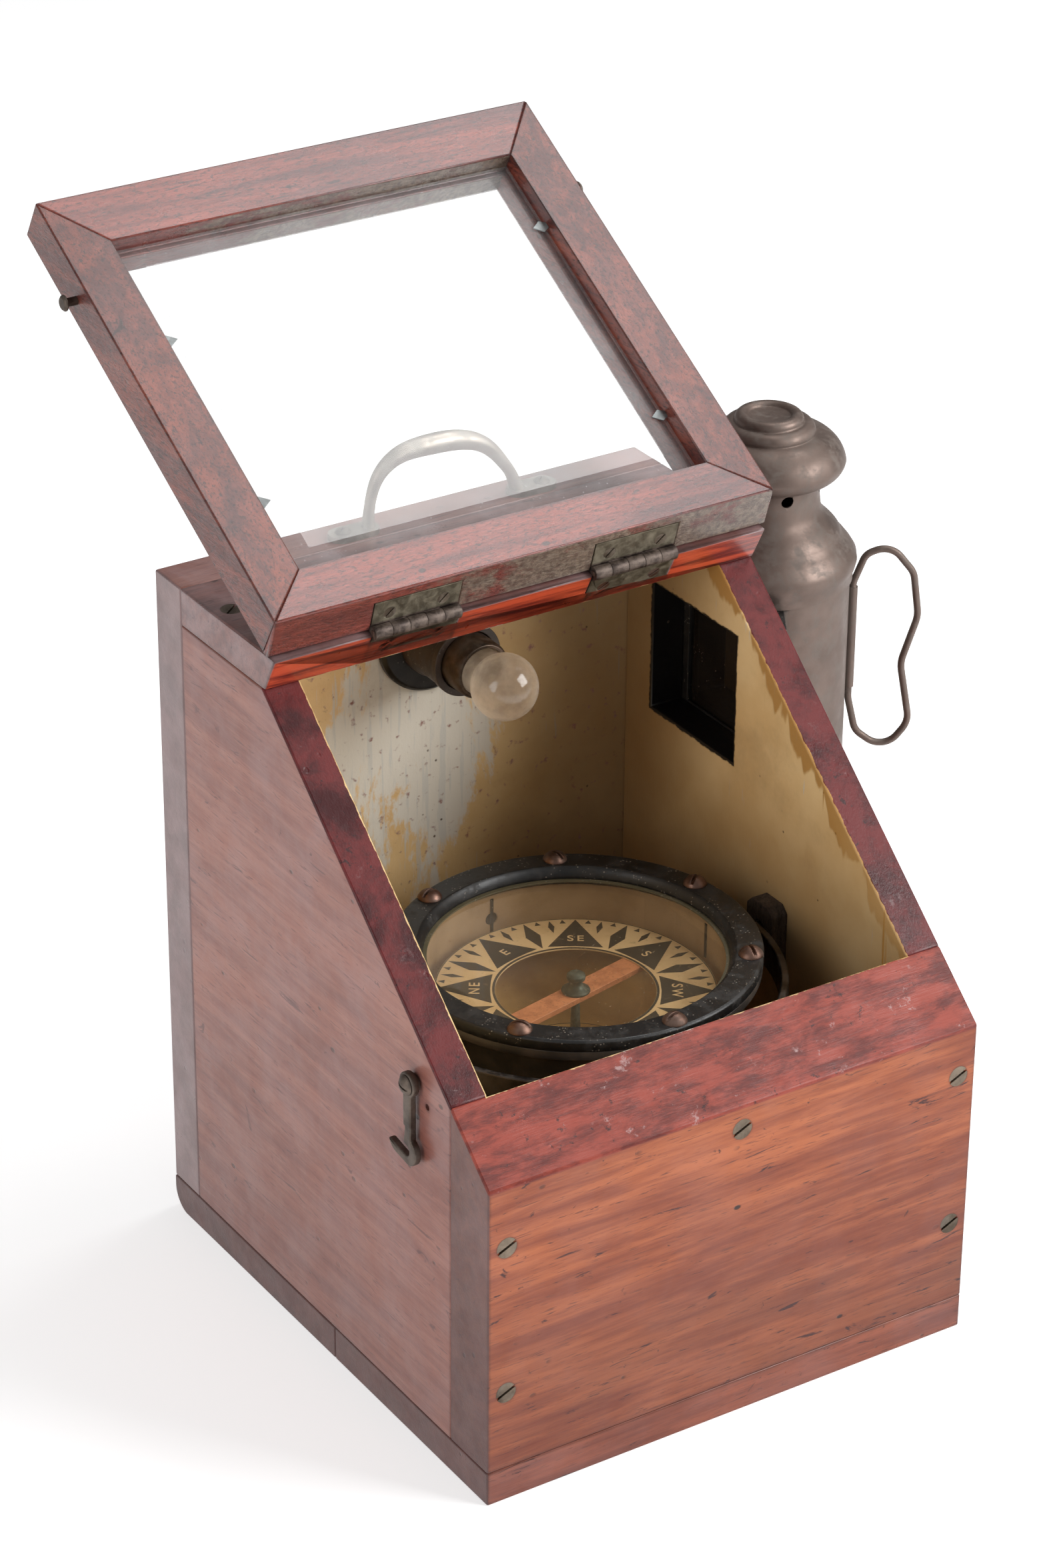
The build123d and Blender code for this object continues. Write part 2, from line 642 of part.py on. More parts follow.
# ---- compass bowl --------------------------------------------------------------------------
bezel_foot = compass_height - 4.5
bowl_radius = 60.5
bowl_bore = 56.5
glass_seat = bezel_foot - 3.1
bowl_base = 89.0
bowl_floor = 93.0
bowl_axis = Axis((0, compass_y, 0), (0, 0, 1))
bezel_screw_turns = [
    radians(bezel_screw_phase + 360 * turn / bezel_screw_count) for turn in range(bezel_screw_count)
]
bezel_screw_places = [
    (bezel_screw_circle * cos(turn), compass_y + bezel_screw_circle * sin(turn)) for turn in bezel_screw_turns
]
profile_plane = Plane(origin=(0, compass_y, 0), x_dir=(1, 0, 0), z_dir=(0, -1, 0))

with BuildPart() as compass_bowl:
    with BuildSketch(profile_plane):
        with BuildLine():
            Polyline((0, bowl_floor), (36, bowl_floor))
            Spline((36, bowl_floor), (50, bowl_floor + 7), (bowl_bore, bowl_floor + 24),
                   tangents=[(1, 0), (0, 1)])
            Polyline((bowl_bore, bowl_floor + 24), (bowl_bore, glass_seat), (58.6, glass_seat),
                     (58.6, bezel_foot), (bezel_radius - 0.3, bezel_foot),
                     (bezel_radius - 0.3, bezel_foot - 3.4), (bowl_radius, bezel_foot - 6.5),
                     (bowl_radius, bowl_floor + 22))
            Spline((bowl_radius, bowl_floor + 22), (52.5, bowl_base + 6.5), (36, bowl_base),
                   tangents=[(0, -1), (-1, 0)])
            Polyline((36, bowl_base), (0, bowl_base), (0, bowl_floor))
        make_face()
    revolve(axis=bowl_axis)
    with Locations((0, compass_y, gimbal_height)):
        Cylinder(trunnion_radius, 4 * bowl_radius, rotation=(90, 0, 0), mode=Mode.SUBTRACT)
    for x, y in bezel_screw_places:
        with Locations((x, y, bezel_foot)):
            Cylinder(1.3, 4.5, align=(Align.CENTER, Align.CENTER, Align.MAX), mode=Mode.SUBTRACT)
    with Locations((0, compass_y, 0)):
        Cylinder(1.5, 3 * bowl_floor, mode=Mode.SUBTRACT)
finish(compass_bowl, "compass_bowl")

trunnion_root = bowl_bore + 0.4
trunnion_end = gimbal_radius + 0.8
trunnion_collar = bowl_radius + 0.25
with BuildPart() as bowl_trunnions:
    for side in (-1, 1):
        with BuildSketch(Plane(origin=(0, compass_y + side * trunnion_root, gimbal_height),
                               z_dir=(0, side, 0))):
            Circle(trunnion_radius)
        extrude(amount=trunnion_end - trunnion_root)
        with BuildSketch(Plane(origin=(0, compass_y + side * trunnion_collar, gimbal_height),
                               z_dir=(0, side, 0))):
            Circle(2 * trunnion_radius)
        extrude(amount=3.0)
        with Locations((0, compass_y + side * trunnion_end, gimbal_height)):
            Box(6, 1.6, 0.7, mode=Mode.SUBTRACT)
finish(bowl_trunnions, "bowl_trunnions")

with BuildPart() as bowl_weight:
    with BuildSketch(profile_plane):
        with BuildLine():
            Polyline((1.5, bowl_base), (30, bowl_base), (30, bowl_base - 5), (26, bowl_base - 9),
                     (1.5, bowl_base - 9), close=True)
        make_face()
    revolve(axis=bowl_axis)
finish(bowl_weight, "bowl_weight")

with BuildPart() as bezel_ring:
    with BuildSketch(profile_plane):
        with BuildLine():
            Polyline((54.8, bezel_foot), (bezel_radius - 0.3, bezel_foot), (bezel_radius, bezel_foot + 0.5),
                     (bezel_radius, compass_height - 0.8), (bezel_radius - 0.8, compass_height),
                     (bezel_sight + 0.8, compass_height), (bezel_sight - 0.2, compass_height - 1.0),
                     (54.8, bezel_foot + 1.2), close=True)
        make_face()
    revolve(axis=bowl_axis)
    for x, y in bezel_screw_places:
        with Locations((x, y, compass_height)):
            Cylinder(1.3, 20, mode=Mode.SUBTRACT)
finish(bezel_ring, "bezel_ring")

bezel_screw = round_screw(4.6, 3.2, 1.3, 8.6, slot_width=1.1)
bezel_slots = (35, -70, 20, 60, -45, 10, 80)
with BuildPart() as bezel_screws:
    for (x, y), slot in zip(bezel_screw_places, bezel_slots):
        with Locations(Location((x, y, compass_height), (0, 0, slot))):
            add(bezel_screw)
finish(bezel_screws, "bezel_screws")

with BuildPart() as glass_gasket:
    with BuildSketch(Plane.XY.offset(glass_seat + 2.5)):
        with Locations((0, compass_y)):
            Circle(58.5)
            Circle(53.4, mode=Mode.SUBTRACT)
    extrude(amount=0.6)
finish(glass_gasket, "glass_gasket")

with BuildPart() as compass_glass:
    with BuildSketch(Plane.XY.offset(glass_seat)):
        with Locations((0, compass_y)):
            Circle(58.4)
    extrude(amount=2.5)
finish(compass_glass, "compass_glass")

post_foot = bowl_floor + 3.0
with BuildPart() as pivot_post:
    with BuildSketch(profile_plane):
        with BuildLine():
            Polyline((0, bowl_floor), (7, bowl_floor), (7, post_foot - 1), (6, post_foot),
                     (2.2, post_foot + 1), (1.5, card_height - 6), (0.7, card_height - 1.5),
                     (0, card_height + 1.8), close=True)
        make_face()
    revolve(axis=bowl_axis)
    with Locations((0, compass_y, bowl_floor)):
        Cylinder(1.5, 4.0 + 6, align=(Align.CENTER, Align.CENTER, Align.MAX))
finish(pivot_post, "pivot_post")

# ---- compass card, which turns freely on the post --------------------------------------------
card_hole = 29.0
with BuildPart() as compass_card:
    with BuildSketch(Plane.XY.offset(card_height - 0.5)):
        with Locations((0, compass_y)):
            Circle(card_radius)
            Circle(card_hole, mode=Mode.SUBTRACT)
    extrude(amount=0.5)
finish(compass_card, "compass_card")

card_heading = 33.0
magnet_length = 78.0
magnet_width = 9.0
magnet_depth = 2.2
magnet_top = card_height - 0.5
magnet_turn = 90 - (card_heading + 45)
with BuildPart() as card_magnet:
    with BuildSketch(Plane.XY.offset(magnet_top - magnet_depth)):
        with Locations((0, compass_y)):
            Rectangle(magnet_length, magnet_width, rotation=magnet_turn)
            Circle(2.8, mode=Mode.SUBTRACT)
    extrude(amount=magnet_depth)
finish(card_magnet, "card_magnet")

cap_apex = card_height + 1.95
with BuildPart() as card_cap:
    with BuildSketch(profile_plane):
        with BuildLine():
            Polyline((1.7, magnet_top - magnet_depth), (2.8, magnet_top - magnet_depth), (2.8, magnet_top),
                     (5.2, magnet_top), (5.2, magnet_top + 0.7), (3.2, magnet_top + 2.0),
                     (2.4, magnet_top + 3.2),
                     (2.4, magnet_top + 4.4), (3.4, magnet_top + 5.0), (3.4, magnet_top + 6.6),
                     (2.4, magnet_top + 7.4), (0, magnet_top + 7.6), (0, cap_apex), (1.3, card_height - 1.0),
                     close=True)
        make_face()
    revolve(axis=bowl_axis)
finish(card_cap, "card_cap")

# ---- electric bulb and its holder ------------------------------------------------------------
holder_axis = Axis((0, inner_back, bulb_height), (0, -1, 0))
holder_profile = Plane(origin=(0, inner_back, bulb_height), x_dir=(0, 0, 1), z_dir=(1, 0, 0))
barrel_end = 27.0
cap_length = 15.0


def holder_turning(outline):
    """A turned piece of the bulb holder: (radius, distance out from the back wall) points."""
    with BuildPart() as turned_piece:
        with BuildSketch(holder_profile):
            with BuildLine():
                Polyline(*outline, close=True)
            make_face()
        revolve(axis=holder_axis)
    return turned_piece


bulb_holder_base = holder_turning([(0, 0), (holder_radius, 0), (holder_radius, 2.6),
                                   (holder_radius - 1.4, holder_base), (0, holder_base)])
with bulb_holder_base:
    with Locations(*holder_screw_places):
        Cylinder(1.6, 12, mode=Mode.SUBTRACT)
finish(bulb_holder_base, "bulb_holder_base")

bulb_holder_barrel = holder_turning([(0, holder_base), (14.2, holder_base), (14.2, 8), (13.4, 9.2),
                                     (13.4, 23.5), (14.0, 24.0), (14.0, barrel_end), (11.3, barrel_end),
                                     (11.3, 10), (0, 10)])
finish(bulb_holder_barrel, "bulb_holder_barrel")

bulb_cap = holder_turning([(0, 12), (9.5, 12), (11.0, 14), (11.0, barrel_end + cap_length - 6.0),
                           (10.2, barrel_end + cap_length - 4.5), (9.0, barrel_end + cap_length - 4.5),
                           (9.0, 18), (0, 18)])
finish(bulb_cap, "bulb_cap")

neck_radius = 8.95
neck_start = barrel_end + 6.0
ball_joint = bulb_reach - (bulb_radius ** 2 - neck_radius ** 2) ** 0.5
bore_radius = bulb_radius - 0.7
bore_neck = neck_radius - 0.7
bore_joint = bulb_reach - (bore_radius ** 2 - bore_neck ** 2) ** 0.5
with BuildPart() as bulb_globe:
    with BuildSketch(holder_profile):
        with BuildLine():
            Line((bore_neck, neck_start), (neck_radius, neck_start))
            Line((neck_radius, neck_start), (neck_radius, ball_joint))
            ThreePointArc((neck_radius, ball_joint), (bulb_radius, bulb_reach), (0, bulb_reach + bulb_radius))
            Line((0, bulb_reach + bulb_radius), (0, bulb_reach + bore_radius))
            ThreePointArc((0, bulb_reach + bore_radius), (bore_radius, bulb_reach), (bore_neck, bore_joint))
            Line((bore_neck, bore_joint), (bore_neck, neck_start))
        make_face()
    revolve(axis=holder_axis)
finish(bulb_globe, "bulb_globe")

# ---- bracket on the right-hand wall ------------------------------------------------------------
bracket_face = half_width + sheet
hood_face = bracket_face + 0.5
flange = 1.0
lip_inner = hood_face + flange + 0.5
lip_outer = lip_inner + sheet
hood_y0 = window_y0 + 1.0
hood_y1 = window_y1 - 1.0
hood_z0 = bracket_z0 + sheet
hood_z1 = 222.0
rail_top = lamp_top - 67.5
flange_y0 = hood_y0 - 3.0
flange_y1 = hood_y1 + 3.0

with BuildPart() as lamp_bracket:
    with BuildSketch(Plane.YZ.offset(half_width)):
        with Locations((window_y, (bracket_z0 + bracket_z1) / 2)):
            Rectangle(bracket_y1 - bracket_y0, bracket_z1 - bracket_z0)
        with Locations((window_y, (window_z0 + 220) / 2)):
            Rectangle(window_y1 - window_y0 - 6, 220 - window_z0, mode=Mode.SUBTRACT)
    extrude(amount=sheet)
    for wall_y, lip_y in ((flange_y0 - 0.5 - sheet, flange_y0 - 0.5), (flange_y1 + 0.5, flange_y1 - 1.8)):
        with BuildSketch(Plane.XY.offset(bracket_z0)):
            with Locations(((bracket_face + lip_outer) / 2, wall_y + sheet / 2)):
                Rectangle(lip_outer - bracket_face, sheet)
            with Locations(((lip_inner + lip_outer) / 2, lip_y + 1.15)):
                Rectangle(sheet, 2.3)
        extrude(amount=rail_top - bracket_z0)
    with BuildSketch(Plane.XY.offset(bracket_z0)):
        with Locations(((bracket_face + lip_outer) / 2, window_y)):
            Rectangle(lip_outer - bracket_face, flange_y1 - flange_y0)
    extrude(amount=sheet)
    with Locations(*bracket_screw_places):
        add(bracket_blank, mode=Mode.SUBTRACT)
finish(lamp_bracket, "lamp_bracket")

# ---- oil lamp ------------------------------------------------------------------------------
lamp_foot = lamp_top - 149.0
body_top = lamp_top - 63.0
lamp_axis = Axis((lamp_x, lamp_y, 0), (0, 0, 1))
lamp_profile = Plane(origin=(lamp_x, lamp_y, 0), x_dir=(1, 0, 0), z_dir=(0, -1, 0))
shoulder_turn = radians(248)
shoulder_point = (lamp_x + lamp_radius * cos(shoulder_turn), lamp_y + lamp_radius * sin(shoulder_turn))
duct_outer = [(hood_face, hood_y0), (hood_face + 8.5, hood_y0), shoulder_point, (lamp_x, lamp_y),
              (hood_face, hood_y1)]
duct_inner = [(hood_face, hood_y0 + sheet), (hood_face + 8.1, hood_y0 + sheet),
              (shoulder_point[0] - 1.0, shoulder_point[1] + 1.3), (lamp_x, lamp_y),
              (hood_face, hood_y1 - sheet)]

with BuildPart() as lamp_hood:
    with BuildSketch(Plane.XY.offset(hood_z0 + 2)):
        with BuildLine():
            Polyline(*duct_outer, close=True)
        make_face()
    extrude(amount=hood_z1 - hood_z0 - 6)
    with BuildSketch(Plane.YZ.offset(hood_face)):
        with Locations(((flange_y0 + flange_y1) / 2, (hood_z0 + hood_z1) / 2)):
            Rectangle(flange_y1 - flange_y0, hood_z1 - hood_z0)
    extrude(amount=flange)
    with BuildSketch(Plane.XY.offset(hood_z0 + 3)):
        with BuildLine():
            Polyline(*duct_inner, close=True)
        make_face()
    extrude(amount=hood_z1 - hood_z0 - 8, mode=Mode.SUBTRACT)
    with Locations((lamp_x, lamp_y, 0)):
        Cylinder(lamp_radius, 4 * lamp_top, mode=Mode.SUBTRACT)
finish(lamp_hood, "lamp_hood")

with BuildPart() as lamp_window:
    with BuildSketch(Plane.XY.offset(hood_z0 + 3.1)):
        with Locations((hood_face + flange + 0.9, (hood_y0 + hood_y1) / 2)):
            Rectangle(1.6, hood_y1 - hood_y0 - 2 * sheet - 0.4)
    extrude(amount=hood_z1 - hood_z0 - 8.2)
finish(lamp_window, "lamp_window")

with BuildPart() as lamp_body:
    with BuildSketch(Plane.XY.offset(lamp_foot + 3)):
        with Locations((lamp_x, lamp_y)):
            Circle(lamp_radius)
            Circle(lamp_radius - sheet, mode=Mode.SUBTRACT)
    extrude(amount=body_top - lamp_foot - 3)
    with BuildSketch(Plane.XY.offset(hood_z0 + 3)):
        with BuildLine():
            Polyline(*duct_inner, close=True)
        make_face()
    extrude(amount=hood_z1 - hood_z0 - 8, mode=Mode.SUBTRACT)
finish(lamp_body, "lamp_body")


def drops(*points):
    """(radius, height) points of a lamp turning, given as (radius, drop below the lamp's top)."""
    return [(radius, lamp_top - drop) for radius, drop in points]


collar_outer = drops((33.4, 65.5), (33.4, 62), (34.2, 60.6), (34.8, 58), (34.4, 55.2), (32.8, 52.6),
                     (30.4, 49.6), (28.8, 48.2), (28.3, 47.0))
neck_outer = drops((28.3, 47.0), (24.6, 42.4), (21.0, 38.2), (20.0, 33.5), (20.2, 27.0), (21.4, 24.4))
neck_lip = drops((21.4, 24.4), (21.4, 24.1), (20.3, 24.1), (19.2, 27.0), (19.0, 33.5))
neck_inner = drops((19.0, 33.5), (20.0, 38.6), (23.7, 43.2), (27.3, 47.6))
collar_inner = drops((27.3, 47.6), (29.4, 50.2), (32.0, 53.2), (33.3, 55.8), (33.7, 58), (33.2, 60.0),
                     (32.6, 61.6), (32.6, 65.5), (33.4, 65.5))
vent_count = 6
vent_phase = -43.0
vent_radius = 2.4
with BuildPart() as lamp_chimney:
    with BuildSketch(lamp_profile):
        with BuildLine():
            Polyline(*collar_outer)
            Spline(*neck_outer)
            Polyline(*neck_lip)
            Spline(*neck_inner)
            Polyline(*collar_inner)
        make_face()
    revolve(axis=lamp_axis)
    for vent in range(vent_count):
        direction = radians(vent_phase + 360 * vent / vent_count)
        with Locations(Plane(origin=(lamp_x, lamp_y, lamp_top - 28.0),
                             z_dir=(cos(direction), sin(direction), 0))):
            Cylinder(vent_radius, 40, align=(Align.CENTER, Align.CENTER, Align.MIN), mode=Mode.SUBTRACT)
finish(lamp_chimney, "lamp_chimney")

crown_edge = drops((0, 1.4), (8.0, 1.2))
crown_bead = drops((8.0, 1.2), (11.6, 0), (12.9, 2.4))
step_edge = drops((12.9, 2.4), (13.2, 3.0))
step_bead = drops((13.2, 3.0), (16.6, 4.2), (17.5, 7.2))
dome_upper = drops((17.5, 7.2), (25.6, 11.0), (29.2, 18.0))
dome_lower = drops((29.2, 18.0), (27.2, 22.0), (21.6, 24.1))
dome_lip = drops((21.6, 24.1), (20.4, 24.1), (21.2, 23.1))
hollow_lower = drops((21.2, 23.1), (26.3, 21.2), (28.1, 17.9))
hollow_upper = drops((28.1, 17.9), (24.8, 11.8), (17.2, 8.5))
crown_hollow = drops((17.2, 8.5), (12.0, 4.4), (7.0, 2.6), (0, 2.8), (0, 1.4))
with BuildPart() as lamp_cap:
    with BuildSketch(lamp_profile):
        with BuildLine():
            Line(*crown_edge)
            ThreePointArc(*crown_bead)
            Line(*step_edge)
            ThreePointArc(*step_bead)
            ThreePointArc(*dome_upper)
            ThreePointArc(*dome_lower)
            Polyline(*dome_lip)
            ThreePointArc(*hollow_lower)
            ThreePointArc(*hollow_upper)
            Polyline(*crown_hollow)
        make_face()
    revolve(axis=lamp_axis)
finish(lamp_cap, "lamp_cap")

# ---- the lamp's wire handle, in an upright plane through the lamp's axis ---------------------
grip_turn = radians(-33)
wire_plane = Plane(origin=(lamp_x, lamp_y, 0), x_dir=(cos(grip_turn), sin(grip_turn), 0),
                   z_dir=(sin(grip_turn), -cos(grip_turn), 0))
wire_radius = 1.35
strip_radius = 1.9
wire_r = lamp_radius + wire_radius
wire_route = drops((wire_r, 118), (wire_r, 69.5), (38.2, 57.5), (47.5, 53.6), (56.6, 65), (59.0, 83),
                   (53.2, 103), (57.5, 128), (48.5, 140.5), (37.0, 132))
with BuildPart() as lamp_handle:
    with BuildLine(wire_plane):
        route = FilletPolyline(*wire_route, radius=[14, 10, 6, 8, 9, 14, 14, 10, 8, 8], close=True)
    with BuildSketch(Plane(origin=route @ 0, z_dir=route % 0)):
        Circle(wire_radius)
    sweep(path=route)
    with BuildSketch(Plane.XY.offset(lamp_top - 113)):
        with Locations((lamp_x + wire_r * cos(grip_turn), lamp_y + wire_r * sin(grip_turn))):
            Circle(strip_radius)
    extrude(amount=42)
    with Locations((lamp_x, lamp_y, 0)):
        Cylinder(lamp_radius, 4 * lamp_top, mode=Mode.SUBTRACT)
finish(lamp_handle, "lamp_handle")

# ---- oil font, burner and wick ----------------------------------------------------------------
font_radius = lamp_radius - sheet - 0.4
font_top = lamp_foot + 27
font_mouth = 9.0
with BuildPart() as lamp_font:
    with BuildSketch(lamp_profile):
        with BuildLine():
            Polyline((0, lamp_foot), (lamp_radius, lamp_foot), (lamp_radius, lamp_foot + 2.9),
                     (font_radius, lamp_foot + 2.9), (font_radius, font_top - 4), (font_radius - 4, font_top),
                     (font_mouth, font_top), (font_mouth, font_top - sheet),
                     (font_radius - 4.4, font_top - sheet), (font_radius - sheet, font_top - 4.4),
                     (font_radius - sheet, lamp_foot + 1.2),
                     (0, lamp_foot + 1.2), close=True)
        make_face()
    revolve(axis=lamp_axis)
finish(lamp_font, "lamp_font")

with BuildPart() as lamp_burner:
    with BuildSketch(lamp_profile):
        with BuildLine():
            Polyline((0, font_top - 4), (font_mouth, font_top - 4), (font_mouth, font_top), (11.5, font_top),
                     (11.5, font_top + 3), (8.0, font_top + 5), (7.0, font_top + 11), (0, font_top + 11),
                     close=True)
        make_face()
    revolve(axis=lamp_axis)
    with Locations((lamp_x, lamp_y, font_top)):
        Box(9.2, 2.6, 60, mode=Mode.SUBTRACT)
finish(lamp_burner, "lamp_burner")

with BuildPart() as lamp_wick:
    with Locations((lamp_x, lamp_y, lamp_foot + 3)):
        Box(9.0, 2.4, font_top + 13 - lamp_foot - 3, align=(Align.CENTER, Align.CENTER, Align.MIN))
finish(lamp_wick, "lamp_wick")
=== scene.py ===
import bmesh
import bpy
import json
import math
from mathutils import Matrix, Vector


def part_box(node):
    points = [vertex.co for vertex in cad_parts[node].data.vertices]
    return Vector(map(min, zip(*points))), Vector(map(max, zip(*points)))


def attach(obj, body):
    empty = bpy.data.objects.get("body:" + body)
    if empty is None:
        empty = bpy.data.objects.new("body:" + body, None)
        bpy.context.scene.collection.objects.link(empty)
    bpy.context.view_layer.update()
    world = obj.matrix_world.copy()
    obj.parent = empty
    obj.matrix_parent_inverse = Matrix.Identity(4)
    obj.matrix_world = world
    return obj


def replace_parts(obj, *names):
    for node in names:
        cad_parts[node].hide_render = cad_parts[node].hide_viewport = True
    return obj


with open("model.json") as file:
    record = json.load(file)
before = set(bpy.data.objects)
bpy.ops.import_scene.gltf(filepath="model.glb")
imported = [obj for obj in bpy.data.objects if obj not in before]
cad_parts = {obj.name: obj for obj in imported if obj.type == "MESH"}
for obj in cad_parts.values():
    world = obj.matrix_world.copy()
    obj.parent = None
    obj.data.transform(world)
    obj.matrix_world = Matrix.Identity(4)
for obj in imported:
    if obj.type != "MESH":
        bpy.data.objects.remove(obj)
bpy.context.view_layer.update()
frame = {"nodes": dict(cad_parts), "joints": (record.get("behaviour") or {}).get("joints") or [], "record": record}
nodes = frame["nodes"]
body_of = {node: body for body, members in frame["record"]["behaviour"]["bodies"].items() for node in members}
joint_at = {joint["name"]: Vector(joint["pos_m"]) for joint in frame["joints"] if "pos_m" in joint}


# ---- shader building ----------------------------------------------------------------------
class Paint:
    """One procedural material: small helpers that add nodes and return their output sockets."""

    def __init__(self, name):
        self.material = bpy.data.materials.new(name)
        self.material.use_nodes = True
        self.tree = self.material.node_tree
        self.tree.nodes.clear()
        self.output = self.tree.nodes.new("ShaderNodeOutputMaterial")
        self.surface = self.tree.nodes.new("ShaderNodeBsdfPrincipled")
        self.tree.links.new(self.surface.outputs[0], self.output.inputs[0])
        self.place = self.tree.nodes.new("ShaderNodeTexCoord").outputs["Object"]

    def put(self, socket, value):
        """Give a socket a value, a colour or another node's output."""
        if isinstance(value, bpy.types.NodeSocket):
            self.tree.links.new(value, socket)
        elif isinstance(value, (tuple, list)) and socket.type == "RGBA":
            socket.default_value = (*value[:3], 1.0)
        else:
            socket.default_value = value

    def add(self, kind, values, out=0, **settings):
        """Add a node with values for its sockets and settings for its own properties."""
        node = self.tree.nodes.new(kind)
        for key, value in settings.items():
            setattr(node, key, value)
        for key, value in values.items():
            self.put(node.inputs[key], value)
        return node.outputs[out]

    def scaled(self, scale, shift):
        """The object's own coordinates, scaled and shifted; one number scales all three axes alike."""
        sizes = scale if isinstance(scale, tuple) else (scale, scale, scale)
        return self.add("ShaderNodeMapping", {"Vector": self.place, "Scale": sizes, "Location": shift})

    def noise(self, scale, detail, rough=0.55, warp=0.0, shift=(0, 0, 0)):
        values = {"Vector": self.scaled(scale, shift), "Scale": 1.0, "Detail": detail, "Roughness": rough,
                  "Distortion": warp}
        return self.add("ShaderNodeTexNoise", values)

    def cells(self, scale, shift=(0, 0, 0)):
        """The distance to the nearest of many scattered points."""
        return self.add("ShaderNodeTexVoronoi", {"Vector": self.scaled(scale, shift), "Scale": 1.0})

    def math(self, kind, a, b=0.0):
        node = self.tree.nodes.new("ShaderNodeMath")
        node.operation = kind
        for socket, value in zip(node.inputs, (a, b)):
            self.put(socket, value)
        return node.outputs[0]

    def times(self, a, b):
        return self.math("MULTIPLY", a, b)

    def plus(self, a, b):
        return self.math("ADD", a, b)

    def minus(self, a, b):
        return self.math("SUBTRACT", a, b)

    def most(self, a, b):
        return self.math("MAXIMUM", a, b)

    def least(self, a, b):
        return self.math("MINIMUM", a, b)

    def size(self, a):
        return self.math("ABSOLUTE", a)

    def apart(self, a, b):
        """The length of a line that goes a one way and b the other."""
        return self.math("SQRT", self.plus(self.times(a, a), self.times(b, b)))

    def ease(self, value, low, high, start=0.0, end=1.0):
        """value smoothly carried from low..high to start..end."""
        values = {"Value": value, "From Min": low, "From Max": high, "To Min": start, "To Max": end}
        return self.add("ShaderNodeMapRange", values, interpolation_type="SMOOTHSTEP")

    def mix(self, share, a, b):
        """Colour a turned into colour b by share."""
        node = self.tree.nodes.new("ShaderNodeMix")
        node.data_type = "RGBA"
        self.put(node.inputs[0], share)
        self.put(node.inputs[6], a)
        self.put(node.inputs[7], b)
        return node.outputs[2]

    def axes(self):
        """The point's own x, y and z."""
        node = self.tree.nodes.new("ShaderNodeSeparateXYZ")
        self.tree.links.new(self.place, node.inputs[0])
        return node.outputs[0], node.outputs[1], node.outputs[2]

    def likeness(self, a, b):
        """The dot product of two directions."""
        return self.add("ShaderNodeVectorMath", {0: a, 1: b}, out="Value", operation="DOT_PRODUCT")

    def edges(self, reach):
        """1 where the surface turns sharply within reach of the point, 0 on flat ground."""
        rounded = self.add("ShaderNodeBevel", {"Radius": reach}, samples=6)
        flat = self.add("ShaderNodeNewGeometry", {}, out="True Normal")
        return self.ease(self.likeness(rounded, flat), 0.998, 0.89)

    def facing(self, direction, low=0.8, high=0.9):
        """1 where the surface faces a direction of its own body, 0 elsewhere."""
        turned = self.add("ShaderNodeTexCoord", {}, out="Normal")
        return self.ease(self.likeness(turned, direction), low, high)

    def bump(self, height, strength, distance):
        return self.add("ShaderNodeBump", {"Height": height, "Strength": strength, "Distance": distance})

    def finish(self, colour, rough, normal=None, **more):
        self.put(self.surface.inputs["Base Color"], colour)
        self.put(self.surface.inputs["Roughness"], rough)
        if normal is not None:
            self.put(self.surface.inputs["Normal"], normal)
        for key, value in more.items():
            self.put(self.surface.inputs[key.replace("_", " ")], value)
        return self.material


AXIS = {"x": 0, "y": 1, "z": 2}


def along(axis, lengthwise, across):
    """A scale that stretches a texture along the grain."""
    scale = [across, across, across]
    scale[AXIS[axis]] = lengthwise
    return tuple(scale)


SLOPE = math.radians(40.5)
SLOPE_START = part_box("front_board")[1].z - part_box("left_side_panel")[0].y * math.tan(SLOPE)
CAVITY = {
    "x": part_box("right_side_panel")[0].x,
    "front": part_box("front_board")[1].y,
    "back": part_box("back_board")[0].y,
    "top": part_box("top_board")[0].z,
}
SIDE_MARGIN, PAINT_MARGIN = 0.0007, 0.0004
BOARD_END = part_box("base_board_front")[1].x
WINDOW_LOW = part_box("lamp_bracket")[0] + Vector((0.0, 0.0070, 0.0085))
WINDOW_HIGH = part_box("lamp_bracket")[1] - Vector((0.0, 0.0070, 0.0040))
LID_RISE, JOINT_LEAN = math.radians(30.0), math.radians(28.0)
JOINT_NORMAL = (0.0, -math.cos(JOINT_LEAN), -math.sin(JOINT_LEAN))
LID_NORMAL = (0.0, -math.sin(LID_RISE), math.cos(LID_RISE))
LID_EDGE_NORMAL = (0.0, -math.cos(LID_RISE), -math.sin(LID_RISE))


def above_slope(p, y, z):
    """How high a point stands over the line of the case's sloping edges."""
    return p.minus(z, p.plus(p.times(y, math.tan(SLOPE)), SLOPE_START))


def inside_case(p):
    """1 on surfaces of the case's painted inside, with a ragged border."""
    x, y, z = p.axes()
    ragged = p.times(p.minus(p.noise(260.0, 3.0), 0.5), 0.0016)
    reach = p.minus(CAVITY["x"] + SIDE_MARGIN, p.size(x))
    reach = p.least(reach, p.minus(y, CAVITY["front"] - PAINT_MARGIN))
    reach = p.least(reach, p.minus(CAVITY["back"] + PAINT_MARGIN, y))
    reach = p.least(reach, p.minus(CAVITY["top"] + PAINT_MARGIN, z))
    return p.ease(p.plus(reach, ragged), 0.0, 0.00025)


